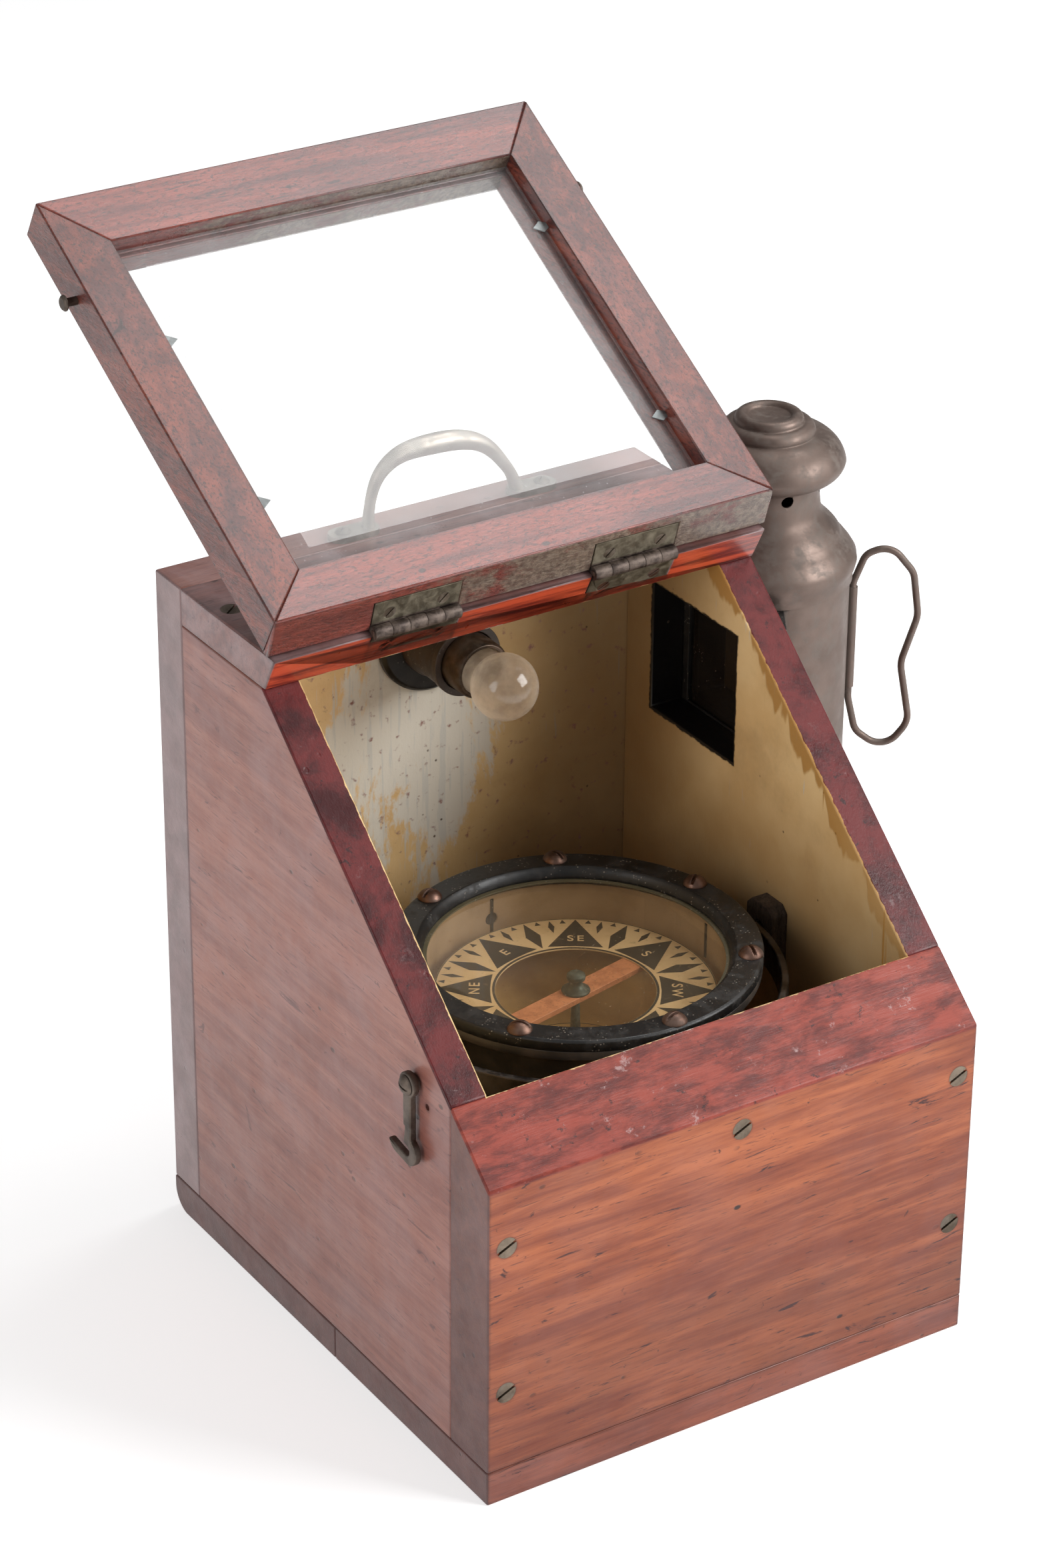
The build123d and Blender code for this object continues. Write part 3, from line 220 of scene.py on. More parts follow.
def cream_paint(p):
    """Colour, roughness and height of old cream paint, worn and specked, with painted shade and a little soot in
    its right, rear part and low on its right.
    """
    x, y, z = p.axes()
    colour = p.mix(p.ease(p.noise(22.0, 5.0), 0.3, 0.72), (0.66, 0.43, 0.19), (0.80, 0.58, 0.30))
    middle = p.ease(p.size(p.plus(x, 0.012)), 0.010, 0.055, 0.17, -0.13)
    worn = p.plus(p.noise((45.0, 45.0, 14.0), 7.0, 0.72, 0.3), middle)
    worn = p.plus(worn, p.ease(z, 0.12, 0.17, -0.12, 0.0))
    colour = p.mix(p.ease(worn, 0.54, 0.62), colour, (0.70, 0.66, 0.57))
    scratch = p.noise((420.0, 420.0, 26.0), 3.0, 0.6)
    scraped = p.plus(scratch, p.times(worn, 0.35))
    colour = p.mix(p.ease(scraped, 0.80, 0.86, 0.0, 0.6), colour, (0.56, 0.56, 0.52))
    # painted shade with a little soot: dark brown over the inside's right, rear part, where the right wall shades
    # it, and low on its right side
    soot_and_shade = p.times(p.ease(x, -0.002, 0.070), p.ease(y, 0.005, 0.085))
    low = p.times(p.ease(z, 0.20, 0.10, 0.0, 0.7), p.ease(x, -0.03, 0.05))
    soot_and_shade = p.most(p.times(soot_and_shade, 0.62), low)
    colour = p.mix(soot_and_shade, colour, (0.16, 0.082, 0.036))
    specks = p.ease(p.cells(150.0), 0.10, 0.05)
    specks = p.times(specks, p.ease(p.noise(60.0, 2.0), 0.54, 0.62, 0.0, 0.9))
    colour = p.mix(specks, colour, (0.07, 0.04, 0.02))
    strip = p.plus(p.times(p.noise((60.0, 60.0, 18.0), 3.0), 0.05), above_slope(p, y, z))
    runs = p.times(p.ease(strip, 0.0200, 0.0225), p.ease(x, 0.05, 0.08))
    runs = p.times(runs, p.ease(y, -0.07, -0.03, 0.5, 0.85))
    drips = p.ease(p.noise((210.0, 210.0, 7.0), 2.0, 0.5, 0.4), 0.66, 0.70)
    runs = p.most(runs, p.times(drips, p.ease(y, 0.01, -0.03, 0.0, 0.8)))
    colour = p.mix(runs, colour, (0.40, 0.19, 0.035))
    grime = p.ease(p.noise(14.0, 6.0, 0.7), 0.50, 0.72)
    colour = p.mix(p.times(grime, 0.38), colour, (0.30, 0.185, 0.09))
    height = p.plus(p.times(scratch, 0.4), p.times(p.noise(900.0, 3.0), 0.35))
    height = p.plus(height, p.plus(p.times(specks, 0.8), p.times(runs, 0.8)))
    return colour, 0.42, height


def end_grain(p, colour, tone):
    """colour with a board's two ends in the tone of its end grain."""
    cut = p.ease(p.size(p.axes()[0]), BOARD_END - 0.0006, BOARD_END - 0.0003)
    grain = p.mix(p.ease(p.noise(60.0, 5.0, 0.6), 0.3, 0.7), tone, tuple(0.6 * c for c in tone))
    return p.mix(p.times(cut, 0.8), colour, grain)


def sloping_edge(p, colour, tones, seed, shift):
    """colour with the case's sloping edge in red, and how much of the varnish's gloss is left there."""
    low_red, high_red, pale, grain = tones
    x, y, z = p.axes()
    near = p.ease(above_slope(p, y, z), -0.0016, -0.0007)
    red = p.mix(p.ease(p.noise(grain, 7.0, 0.72, 0.25, shift=shift), 0.36, 0.62), low_red, high_red)
    black = p.ease(p.noise(190.0, 6.0, 0.75, shift=shift), 0.60, 0.67)
    red = p.mix(p.times(black, 0.8), red, (0.016, 0.007, 0.008))
    patch = p.ease(p.noise(95.0, 8.0, 0.8, shift=(seed + 9, 4, 1)), 0.60, 0.67)
    patch = p.times(patch, p.ease(y, -0.055, -0.095, 0.2, 0.75))
    red = p.mix(patch, red, pale)
    return p.mix(near, colour, red), p.minus(1.0, p.times(near, 0.85))


def dusty_lid_edge(p, colour):
    """colour with the lid's front edge reddened and covered in dust and dirt."""
    facing = p.facing(LID_EDGE_NORMAL)
    dust = p.plus(p.noise((55.0, 90.0, 90.0), 6.0, 0.7), p.ease(p.axes()[0], -0.09, 0.02, -0.16, 0.10))
    dust = p.times(p.ease(dust, 0.42, 0.60, 0.0, 0.85), facing)
    speckled = p.ease(p.noise(420.0, 5.0, 0.7), 0.36, 0.62)
    dirt = p.mix(speckled, (0.095, 0.068, 0.048), (0.24, 0.19, 0.14))
    return p.mix(dust, p.mix(p.times(facing, 0.45), colour, (0.07, 0.012, 0.010)), dirt)


def black_round_window(p, colour):
    """colour with ragged black paint round the lamp's window."""
    x, y, z = p.axes()
    middle = (WINDOW_LOW + WINDOW_HIGH) / 2
    reach = (WINDOW_HIGH - WINDOW_LOW) / 2
    across = p.minus(p.size(p.minus(y, middle.y)), reach.y)
    upright = p.minus(p.size(p.minus(z, middle.z)), reach.z)
    ragged = p.times(p.minus(p.noise(300.0, 3.0), 0.5), 0.002)
    apart = p.plus(p.most(across, upright), ragged)
    return p.mix(p.ease(apart, 0.0014, 0.0006), colour, (0.006, 0.005, 0.005))


RIM_REACH = 0.0022


def wood(name, axis, low, high, dark, bloom, seed, bloom_colour=(0.42, 0.34, 0.36), marks=0.5, gloss=0.34,
         coat=0.5, edge=0.6, relief=0.25, crackle=0.0, foot_dark=0.15, painted=True, black_window=False,
         dusty_edge=False, red_slope=None, red_front=None, ends=None):
    """Old varnished mahogany. low, high and dark are its tones and axis is its grain. bloom is a pale haze,
    marks are stains and pits, edge darkens the rims, and crackle cracks the varnish.

    painted adds the cream inside, black_window the black round the lamp's window, and dusty_edge the dust
    on the lid's front edge. red_slope gives the tones of the case's sloping edges, with foot_dark as how much
    darker their board turns towards its foot. red_front gives the tones of the top board's front edge, and ends
    that of the end grain."""
    p = Paint(name)
    shift = (seed, seed * 1.7, seed * 0.6)
    wave = p.noise(along(axis, 7.0, 26.0), 3.0, 0.5, 0.6, shift=shift)
    figure = p.noise(along(axis, 16.0, 210.0), 6.0, 0.62, 0.35, shift=shift)
    fine = p.noise(along(axis, 110.0, 1500.0), 3.0, 0.6, shift=shift)
    tone = p.plus(p.times(figure, 0.62), p.times(wave, 0.38))
    colour = p.mix(p.ease(tone, 0.36, 0.64), low, high)
    pores = p.times(p.ease(fine, 0.56, 0.70), p.ease(figure, 0.34, 0.6))
    colour = p.mix(p.times(pores, 0.6), colour, dark)
    haze = p.ease(p.noise(38.0, 5.0, 0.6, 0.4, shift=shift), 0.38, 0.7)
    colour = p.mix(p.times(haze, bloom), colour, bloom_colour)
    streak = p.ease(p.noise(along(axis, 38.0, 330.0), 4.0, 0.7, 1.1, shift=shift), 0.61, 0.69)
    blot = p.ease(p.noise(95.0, 4.0, 0.65, 0.8, shift=shift), 0.66, 0.73)
    colour = p.mix(p.times(p.most(streak, blot), marks), colour, dark)
    holes = p.ease(p.cells(along(axis, 70.0, 115.0), shift=shift), 0.13, 0.07)
    pits = p.times(holes, p.ease(p.noise(30.0, 2.0, shift=shift), 0.5, 0.58))
    colour = p.mix(p.times(pits, marks), colour, (0.02, 0.011, 0.009))
    if crackle:
        cracks = p.noise(along(axis, 330.0, 900.0), 5.0, 0.72, 0.4, shift=shift)
        colour = p.mix(p.times(p.ease(cracks, 0.50, 0.64), crackle), colour, dark)
    if red_front:
        direction, low_red, high_red = red_front
        red = p.mix(p.ease(figure, 0.38, 0.60), low_red, high_red)
        colour = p.mix(p.facing(direction), colour, red)
    rim = p.times(p.edges(RIM_REACH), p.ease(p.noise(70.0, 4.0), 0.3, 0.6, 0.35, 1.0))
    colour = p.mix(p.times(rim, edge), colour, (0.022, 0.011, 0.010))
    if ends:
        colour = end_grain(p, colour, ends)
    if red_slope:
        colour, gloss_left = sloping_edge(p, colour, red_slope, seed, shift)
        coat = p.times(gloss_left, coat)
        # darker towards the board's foot, in streaks along the wave of the grain
        foot_darkening = p.times(p.ease(p.axes()[2], 0.115, 0.02, 0.0, foot_dark), p.ease(wave, 0.3, 0.7, 0.4, 1.0))
        colour = p.mix(foot_darkening, colour, dark)
    if dusty_edge:
        colour = dusty_lid_edge(p, colour)
    rough = p.ease(p.noise(60.0, 5.0, 0.7, shift=shift), 0.3, 0.7, gloss - 0.07, gloss + 0.12)
    height = p.plus(p.times(fine, 0.5), p.times(figure, 0.8))
    height = p.minus(height, p.times(pits, 1.5))
    height = p.plus(height, p.times(p.noise(170.0, 4.0, 0.6), 0.5))
    if crackle:
        height = p.minus(height, p.times(cracks, crackle * 3.0))
    if painted:
        paint, paint_rough, paint_height = cream_paint(p)
        inside = inside_case(p)
        outside = p.minus(1.0, inside)
        colour = p.mix(inside, colour, paint)
        rough = p.plus(p.times(rough, outside), p.times(inside, paint_rough))
        height = p.plus(p.times(height, outside), p.times(inside, paint_height))
    if black_window:
        colour = black_round_window(p, colour)
    bumps = p.bump(height, relief, 0.0007)
    return p.finish(colour, rough, bumps, Coat_Weight=coat, Coat_Roughness=0.22, Specular_IOR_Level=0.3)


def metal(name, base, dark, film, film_share, rough, metallic=1.0, grooves=None):
    """Aged metal: base and dark are its tones, film is a dull layer that lies in patches, and grooves is
    how much of it also fills the hollows."""
    p = Paint(name)
    tone = p.noise(70.0, 6.0, 0.65)
    colour = p.mix(p.ease(tone, 0.32, 0.68), dark, base)
    share = p.times(p.ease(p.noise(160.0, 6.0, 0.7, 0.4), 0.45, 0.66), film_share)
    if grooves:
        hollow = p.add("ShaderNodeAmbientOcclusion", {"Distance": 0.006}, out="AO", samples=6)
        share = p.most(share, p.ease(hollow, 0.75, 0.35, 0.0, grooves))
    colour = p.mix(share, colour, film)
    uneven = p.ease(p.noise(110.0, 5.0), 0.3, 0.7, rough - 0.06, rough + 0.1)
    height = p.plus(p.times(p.noise(420.0, 4.0, 0.6), 0.6), p.times(tone, 0.5))
    shine = p.times(p.minus(1.0, share), metallic)
    return p.finish(colour, p.plus(p.times(share, 0.3), uneven), p.bump(height, 0.25, 0.0003), Metallic=shine)


def hinge_metal():
    """Olive leaves with brown, worn knuckles round the hinge's axis."""
    p = Paint("hinge_brass")
    x, y, z = p.axes()
    pin = joint_at["lid_hinge"]
    knuckle = p.ease(p.apart(p.minus(y, pin.y), p.minus(z, pin.z)), 0.0036, 0.0031)
    grime = p.noise(190.0, 6.0, 0.7, 0.4)
    olive = p.mix(p.ease(grime, 0.30, 0.70), (0.075, 0.062, 0.042), (0.175, 0.15, 0.105))
    brown = p.mix(p.ease(grime, 0.36, 0.64), (0.045, 0.033, 0.028), (0.14, 0.105, 0.085))
    colour = p.mix(knuckle, olive, brown)
    shine = p.ease(grime, 0.4, 0.7, 0.75, 0.35)
    return p.finish(colour, p.ease(grime, 0.3, 0.7, 0.40, 0.60), p.bump(grime, 0.35, 0.0003), Metallic=shine)


def plastic(name, base, worn, rough):
    """Moulded plastic or paint with dusty, duller patches."""
    p = Paint(name)
    patches = p.ease(p.noise(130.0, 6.0, 0.7), 0.42, 0.7)
    colour = p.mix(p.times(patches, 0.55), base, worn)
    dots = p.times(p.ease(p.cells(800.0), 0.26, 0.16), p.ease(p.noise(200.0, 3.0), 0.5, 0.62))
    colour = p.mix(p.times(dots, 0.6), colour, (0.34, 0.30, 0.25))
    roughness = p.ease(patches, 0.0, 1.0, rough, rough + 0.25)
    return p.finish(colour, roughness, p.bump(p.noise(600.0, 4.0), 0.25, 0.0002))


def facing_fresnel(p, ior):
    """How much a pane mirrors, on its outer faces only."""
    back = p.add("ShaderNodeNewGeometry", {}, out="Backfacing")
    return p.times(p.add("ShaderNodeFresnel", {"IOR": ior}), p.minus(1.0, back))


def glaze(p, film, mirror, clear, shine, dull):
    """A glass surface: clear, mirroring by mirror, with a dull film over it by film."""
    surface = p.add("ShaderNodeMixShader", {0: mirror, 1: clear, 2: shine})
    surface = p.add("ShaderNodeMixShader", {0: film, 1: surface, 2: dull})
    p.tree.links.new(surface, p.output.inputs[0])
    p.tree.nodes.remove(p.surface)
    return p.material


def glass(name, tint, haze, haze_share, bevel=None):
    """Thin old glass: clear, with an uneven film. bevel is the pane's direction and how much of its bevel turns
    pale white.
    """
    p = Paint(name)
    film = p.times(p.ease(p.noise(30.0, 6.0, 0.6), 0.3, 0.7, 0.5, 1.0), haze_share)
    clear = p.add("ShaderNodeBsdfTransparent", {"Color": tint})
    shine = p.add("ShaderNodeBsdfGlossy", {"Color": (1, 1, 1), "Roughness": 0.02})
    if bevel:
        # a pale white band on the pane's sloping bevel
        direction, bevel_share = bevel
        sloping = p.times(p.minus(1.0, p.facing(direction, 0.982, 0.997)), p.facing(direction, 0.5, 0.6))
        uneven = p.ease(p.noise(60.0, 6.0, 0.7), 0.3, 0.7, 0.6 * bevel_share, bevel_share)
        film = p.most(film, p.times(sloping, uneven))
    dots = p.times(p.ease(p.cells(560.0), 0.22, 0.12), p.ease(p.noise(150.0, 4.0, 0.6), 0.50, 0.60))
    film = p.most(film, p.times(dots, min(1.0, haze_share * 4.0)))
    dull = p.add("ShaderNodeBsdfDiffuse", {"Color": haze})
    return glaze(p, film, facing_fresnel(p, 1.45), clear, shine, dull)


def bulb_glass():
    """The bulb's thin globe: clear, with a pale translucent film."""
    p = Paint("bulb_glass")
    film = p.ease(p.noise(120.0, 5.0, 0.6), 0.3, 0.7, 0.30, 0.55)
    clear = p.add("ShaderNodeBsdfTransparent", {"Color": (0.93, 0.90, 0.85)})
    shine = p.add("ShaderNodeBsdfGlossy", {"Color": (1, 1, 1), "Roughness": 0.07})
    dull = p.add("ShaderNodeBsdfTranslucent", {"Color": (0.90, 0.83, 0.75)})
    return glaze(p, film, facing_fresnel(p, 1.7), clear, shine, dull)


def magnet_paint():
    """The red paint of the card's magnet, worn and specked."""
    p = Paint("magnet_red")
    colour = p.mix(p.ease(p.noise(180.0, 6.0, 0.7), 0.4, 0.66), (0.60, 0.235, 0.11), (0.42, 0.15, 0.07))
    dots = p.ease(p.cells(700.0), 0.24, 0.14)
    colour = p.mix(p.times(dots, 0.5), colour, (0.12, 0.07, 0.05))
    return p.finish(colour, 0.55, p.bump(p.noise(500.0, 4.0), 0.3, 0.0002))


# ---- pieces -------------------------------------------------------------------------------
SHARP, CREASE = math.radians(35.0), math.radians(40.0)
BROAD_SHARE = 0.02


def link(name, mesh, body, material):
    """Put a mesh into the scene as a piece that moves with a body."""
    piece = bpy.data.objects.new(name, mesh)
    bpy.context.scene.collection.objects.link(piece)
    mesh.materials.clear()
    mesh.materials.append(material)
    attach(piece, body)
    return piece


def flatten_broad_faces(mesh):
    """Shade a mesh's broad plane faces flat, so that only its rounded edges and turned faces are smooth."""
    facing = [tuple(round(c, 2) for c in face.normal) for face in mesh.polygons]
    areas = {}
    for key, face in zip(facing, mesh.polygons):
        areas[key] = areas.get(key, 0.0) + face.area
    broad = BROAD_SHARE * sum(areas.values())
    for key, face in zip(facing, mesh.polygons):
        face.use_smooth = areas[key] < broad


def softened(node, material, width, shortest=0.0, segments=2):
    """A piece for a CAD node, its sharp edges rounded over by width except those under shortest."""
    bm = bmesh.new()
    bm.from_mesh(nodes[node].data)
    bmesh.ops.remove_doubles(bm, verts=bm.verts, dist=2e-6)
    bmesh.ops.dissolve_limit(bm, angle_limit=math.radians(0.8), verts=bm.verts, edges=bm.edges)
    sharp = [edge for edge in bm.edges if len(edge.link_faces) == 2
             and edge.calc_face_angle(0.0) > SHARP and edge.calc_length() > shortest]
    if width:
        bmesh.ops.bevel(bm, geom=sharp, offset=width, segments=segments, profile=0.5, affect="EDGES",
                        clamp_overlap=False)
    bmesh.ops.triangulate(bm, faces=[f for f in bm.faces if len(f.verts) > 4])
    mesh = bpy.data.meshes.new(node + "_piece")
    bm.to_mesh(mesh)
    bm.free()
    mesh.shade_smooth()
    mesh.set_sharp_from_angle(angle=CREASE)
    flatten_broad_faces(mesh)
    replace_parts(link(node + "_piece", mesh, body_of[node], material), node)


def flat_piece(name, outlines, base, height, material, body):
    """Thin flat shapes: closed outlines of (x, y) points standing from base up to base + height."""
    bm = bmesh.new()
    for outline in outlines:
        face = bm.faces.new([bm.verts.new((x, y, base)) for x, y in outline])
        face.normal_update()
        if face.normal.z < 0:
            face.normal_flip()
        risen = bmesh.ops.extrude_face_region(bm, geom=[face])
        for vert in risen["geom"]:
            if isinstance(vert, bmesh.types.BMVert):
                vert.co.z += height
    bmesh.ops.recalc_face_normals(bm, faces=bm.faces)
    mesh = bpy.data.meshes.new(name)
    bm.to_mesh(mesh)
    bm.free()
    link(name, mesh, body, material)


# ---- woods --------------------------------------------------------------------------------
RED_DARK = (0.024, 0.006, 0.006)
# the sloping edges' two tones, their pale patches, and the scale of their streaks
SIDE_RED = ((0.045, 0.005, 0.006), (0.125, 0.013, 0.013), (0.24, 0.17, 0.17), (60.0, 60.0, 60.0))
FRONT_RED = ((0.105, 0.015, 0.011), (0.29, 0.050, 0.031), (0.40, 0.26, 0.25), (42.0, 150.0, 150.0))
TOP_RED = (JOINT_NORMAL, (0.12, 0.010, 0.006), (0.48, 0.065, 0.025))
wood_left = wood(
    "varnish_left", "y", (0.19, 0.060, 0.042), (0.31, 0.118, 0.082), (0.07, 0.022, 0.022),
    bloom=0.24, seed=2.0, bloom_colour=(0.29, 0.195, 0.20), marks=0.65, edge=0.6, gloss=0.38, coat=0.4,
    foot_dark=0.3, red_slope=SIDE_RED)
wood_right = wood(
    "varnish_right", "y", (0.20, 0.075, 0.055), (0.31, 0.135, 0.10), (0.09, 0.03, 0.03),
    bloom=0.25, seed=11.0, marks=0.45, edge=0.35, black_window=True, red_slope=SIDE_RED)
wood_front = wood(
    "varnish_front", "x", (0.19, 0.038, 0.014), (0.40, 0.112, 0.040), (0.042, 0.012, 0.012),
    bloom=0.04, seed=5.0, marks=0.95, edge=0.9, gloss=0.42, coat=0.12, foot_dark=0.6, red_slope=FRONT_RED,
    ends=(0.135, 0.082, 0.080))
wood_base = wood(
    "varnish_base", "x", (0.125, 0.026, 0.013), (0.25, 0.064, 0.030), (0.035, 0.010, 0.010),
    bloom=0.06, seed=8.0, marks=0.9, edge=0.9, coat=0.15, ends=(0.10, 0.05, 0.048))
wood_back = wood(
    "varnish_back", "x", (0.21, 0.085, 0.068), (0.31, 0.145, 0.115), (0.08, 0.03, 0.03),
    bloom=0.35, seed=14.0, ends=(0.23, 0.155, 0.155))
wood_top = wood(
    "varnish_top", "x", (0.115, 0.05, 0.045), (0.22, 0.095, 0.08), (0.03, 0.012, 0.012),
    bloom=0.3, seed=17.0, marks=0.6, edge=0.7, red_front=TOP_RED)
wood_rails = wood(
    "varnish_rails", "x", (0.115, 0.013, 0.009), (0.40, 0.072, 0.042), RED_DARK,
    bloom=0.10, seed=21.0, bloom_colour=(0.38, 0.22, 0.22), marks=0.8, edge=0.75, relief=1.0, crackle=0.7,
    gloss=0.30, coat=0.8, dusty_edge=True)
wood_stiles = wood(
    "varnish_stiles", "y", (0.11, 0.016, 0.010), (0.33, 0.066, 0.033), RED_DARK,
    bloom=0.10, seed=25.0, bloom_colour=(0.36, 0.22, 0.22), marks=0.75, edge=0.75, relief=1.0, crackle=0.75,
    coat=0.6)
block_wood = wood(
    "block_wood", "z", (0.030, 0.020, 0.014), (0.11, 0.075, 0.05), (0.012, 0.008, 0.006),
    bloom=0.1, seed=31.0, bloom_colour=(0.2, 0.15, 0.11), gloss=0.7, coat=0.0, relief=1.0, crackle=0.6,
    painted=False)

# ---- metals and the rest: tones, film, share of the film, roughness -------------------------
hinge_brass = hinge_metal()
screw_copper = metal("screw_copper", (0.21, 0.125, 0.095), (0.075, 0.045, 0.035), (0.095, 0.065, 0.05),
                     0.55, 0.42)
screw_olive = metal("screw_olive", (0.23, 0.185, 0.14), (0.08, 0.062, 0.046), (0.14, 0.11, 0.085), 0.65, 0.45)
hook_brass = metal("hook_brass", (0.17, 0.135, 0.11), (0.06, 0.046, 0.038), (0.11, 0.088, 0.072), 0.7, 0.48)
ring_brass = metal("ring_brass", (0.10, 0.085, 0.075), (0.035, 0.03, 0.027), (0.06, 0.05, 0.045), 0.5, 0.35)
lamp_brass = metal("lamp_brass", (0.175, 0.130, 0.110), (0.150, 0.112, 0.095), (0.145, 0.125, 0.108),
                   0.5, 0.50, metallic=0.85, grooves=0.8)
bar_brass = metal("bar_brass", (0.46, 0.40, 0.34), (0.26, 0.22, 0.18), (0.34, 0.32, 0.28), 0.6, 0.42)
patina = metal("green_patina", (0.09, 0.11, 0.10), (0.03, 0.045, 0.042), (0.11, 0.14, 0.125),
               0.7, 0.5, metallic=0.6)
cap_metal = metal("cap_metal", (0.18, 0.13, 0.10), (0.06, 0.045, 0.035), (0.09, 0.07, 0.055), 0.6, 0.45)
tin = metal("glazing_tin", (0.34, 0.36, 0.36), (0.20, 0.215, 0.215), (0.27, 0.28, 0.275), 0.6, 0.5)
lead = metal("lead_weight", (0.20, 0.20, 0.20), (0.10, 0.10, 0.10), (0.16, 0.16, 0.15), 0.7, 0.6)
bezel_black = plastic("bezel_black", (0.007, 0.007, 0.007), (0.034, 0.031, 0.028), 0.40)
holder_black = plastic("holder_black", (0.008, 0.007, 0.006), (0.030, 0.025, 0.020), 0.30)
holder_brown = plastic("holder_brown", (0.040, 0.027, 0.020), (0.09, 0.062, 0.045), 0.38)
sheet_black = plastic("sheet_black", (0.010, 0.009, 0.009), (0.04, 0.035, 0.03), 0.5)
gasket_green = plastic("gasket_green", (0.10, 0.085, 0.045), (0.15, 0.12, 0.07), 0.6)
compass_glaze = glass("compass_glaze", (0.99, 0.97, 0.92), (0.60, 0.45, 0.29), 0.055)
window_glaze = glass("window_glaze", (0.20, 0.18, 0.165), (0.10, 0.075, 0.06), 0.2)
pane_glass = glass("pane_glass", (0.98, 0.985, 0.985), (1.0, 1.0, 1.0), 0.06, bevel=(LID_NORMAL, 0.6))
wick_cotton = plastic("wick_cotton", (0.62, 0.56, 0.44), (0.25, 0.20, 0.15), 0.9)
magnet_red = magnet_paint()

# ---- the pieces: each node's material and the width its edges are rounded over by ------------
boards = {
    "front_board": (wood_front, 0.0007, 0.012), "back_board": (wood_back, 0.0007, 0.012),
    "left_side_panel": (wood_left, 0.0007, 0.012), "right_side_panel": (wood_right, 0.0007, 0.012),
    "top_board": (wood_top, 0.0007, 0.012), "base_board_front": (wood_base, 0.0007, 0.012),
    "base_board_rear": (wood_base, 0.0007, 0.012), "lid_hinge_rail": (wood_rails, 0.0006, 0.010),
    "lid_free_rail": (wood_rails, 0.0006, 0.010), "lid_left_stile": (wood_stiles, 0.0006, 0.010),
    "lid_right_stile": (wood_stiles, 0.0006, 0.010),
}
for node, (material, width, shortest) in boards.items():
    softened(node, material, width, shortest, segments=3)

softer = {
    "front_board_screws": (screw_olive, 0.00012), "back_board_screws": (screw_olive, 0.00012),
    "top_board_screws": (screw_olive, 0.00012), "base_screws": (screw_olive, 0.00012),
    "hinge_lower_leaves": (hinge_brass, 0.0001), "hinge_upper_leaves": (hinge_brass, 0.0001),
    "hinge_lower_screws": (screw_copper, 0.0001), "hinge_upper_screws": (screw_olive, 0.0001),
    "hook_screws": (hook_brass, 0.00015), "left_hook": (hook_brass, 0.0005),
    "right_hook": (hook_brass, 0.0005), "carry_handle": (bar_brass, 0.0),
    "carry_handle_screws": (screw_olive, 0.00012), "gimbal_blocks": (block_wood, 0.0004),
    "gimbal_block_screws": (screw_copper, 0.0001), "bulb_holder_base": (holder_black, 0.0003),
    "bulb_holder_barrel": (holder_brown, 0.0003), "bulb_holder_screws": (screw_copper, 0.00012),
    "bulb_cap": (cap_metal, 0.0002), "lid_pegs": (hook_brass, 0.0002),
    "gimbal_ring": (ring_brass, 0.0), "ring_pivots": (ring_brass, 0.0002),
    "bowl_trunnions": (ring_brass, 0.0002), "bezel_ring": (bezel_black, 0.0003),
    "bezel_screws": (screw_copper, 0.0002), "card_magnet": (magnet_red, 0.0002),
    "card_cap": (patina, 0.0002), "lamp_bracket": (sheet_black, 0.0002),
    "lamp_bracket_screws": (screw_olive, 0.0001), "lamp_hood": (sheet_black, 0.0003),
    "lamp_body": (lamp_brass, 0.0), "lamp_chimney": (lamp_brass, 0.0),
    "lamp_cap": (lamp_brass, 0.0003), "lamp_handle": (lamp_brass, 0.0),
    "lamp_font": (lamp_brass, 0.0003), "lamp_burner": (cap_metal, 0.0002),
    "lamp_wick": (wick_cotton, 0.0002), "hinge_pins": (screw_copper, 0.0001),
    "bowl_weight": (lead, 0.0003), "glass_gasket": (gasket_green, 0.0),
    "glazing_points": (tin, 0.0001), "pivot_post": (patina, 0.0002),
}
for node, (material, width) in softer.items():
    softened(node, material, width)


# ---- compass bowl and card ------------------------------------------------------------------
centre = joint_at["card_turn"]
FLOOR_TOP, WALL_FOOT = 0.098, 0.106
FLOOR_RINGS = (0.0215, 0.0255)
BOWL_WALL = 0.0565
# the bowl's outside, in dark brass: its barrel, its underside, and the slope between them
BARREL, UNDERSIDE = 0.0573, 0.0915
SHOULDER_RISE, SHOULDER_START = 0.62, 0.0665


def bowl_paint():
    """Cream inside with two fine circles on the floor; dark worn brass outside."""
    p = Paint("bowl_inside")
    x, y, z = p.axes()
    radius = p.apart(p.minus(x, centre.x), p.minus(y, centre.y))
    wall = p.mix(p.ease(p.noise(60.0, 5.0), 0.35, 0.7), (0.40, 0.28, 0.17), (0.30, 0.20, 0.11))
    floor = p.mix(p.ease(p.noise(45.0, 5.0), 0.35, 0.7), (0.80, 0.55, 0.21), (0.60, 0.38, 0.13))
    colour = p.mix(p.ease(z, FLOOR_TOP, WALL_FOOT), floor, wall)
    for ring in FLOOR_RINGS:
        line = p.ease(p.size(p.minus(radius, ring)), 0.00032, 0.0002)
        colour = p.mix(p.times(line, 0.85), colour, (0.05, 0.035, 0.02))
    outside = p.ease(radius, BARREL, BARREL + 0.0005)
    below = p.ease(z, UNDERSIDE, UNDERSIDE - 0.001)
    shoulder = p.minus(p.plus(z, p.times(radius, -SHOULDER_RISE)), SHOULDER_START)
    outer = p.most(p.most(outside, below), p.ease(shoulder, 0.0005, -0.0005))
    brown = p.mix(p.ease(p.noise(90.0, 6.0), 0.35, 0.7), (0.030, 0.026, 0.023), (0.075, 0.060, 0.048))
    colour = p.mix(outer, colour, brown)
    return p.finish(colour, p.ease(outer, 0.0, 1.0, 0.6, 0.36), p.bump(p.noise(500.0, 4.0), 0.2, 0.0002))


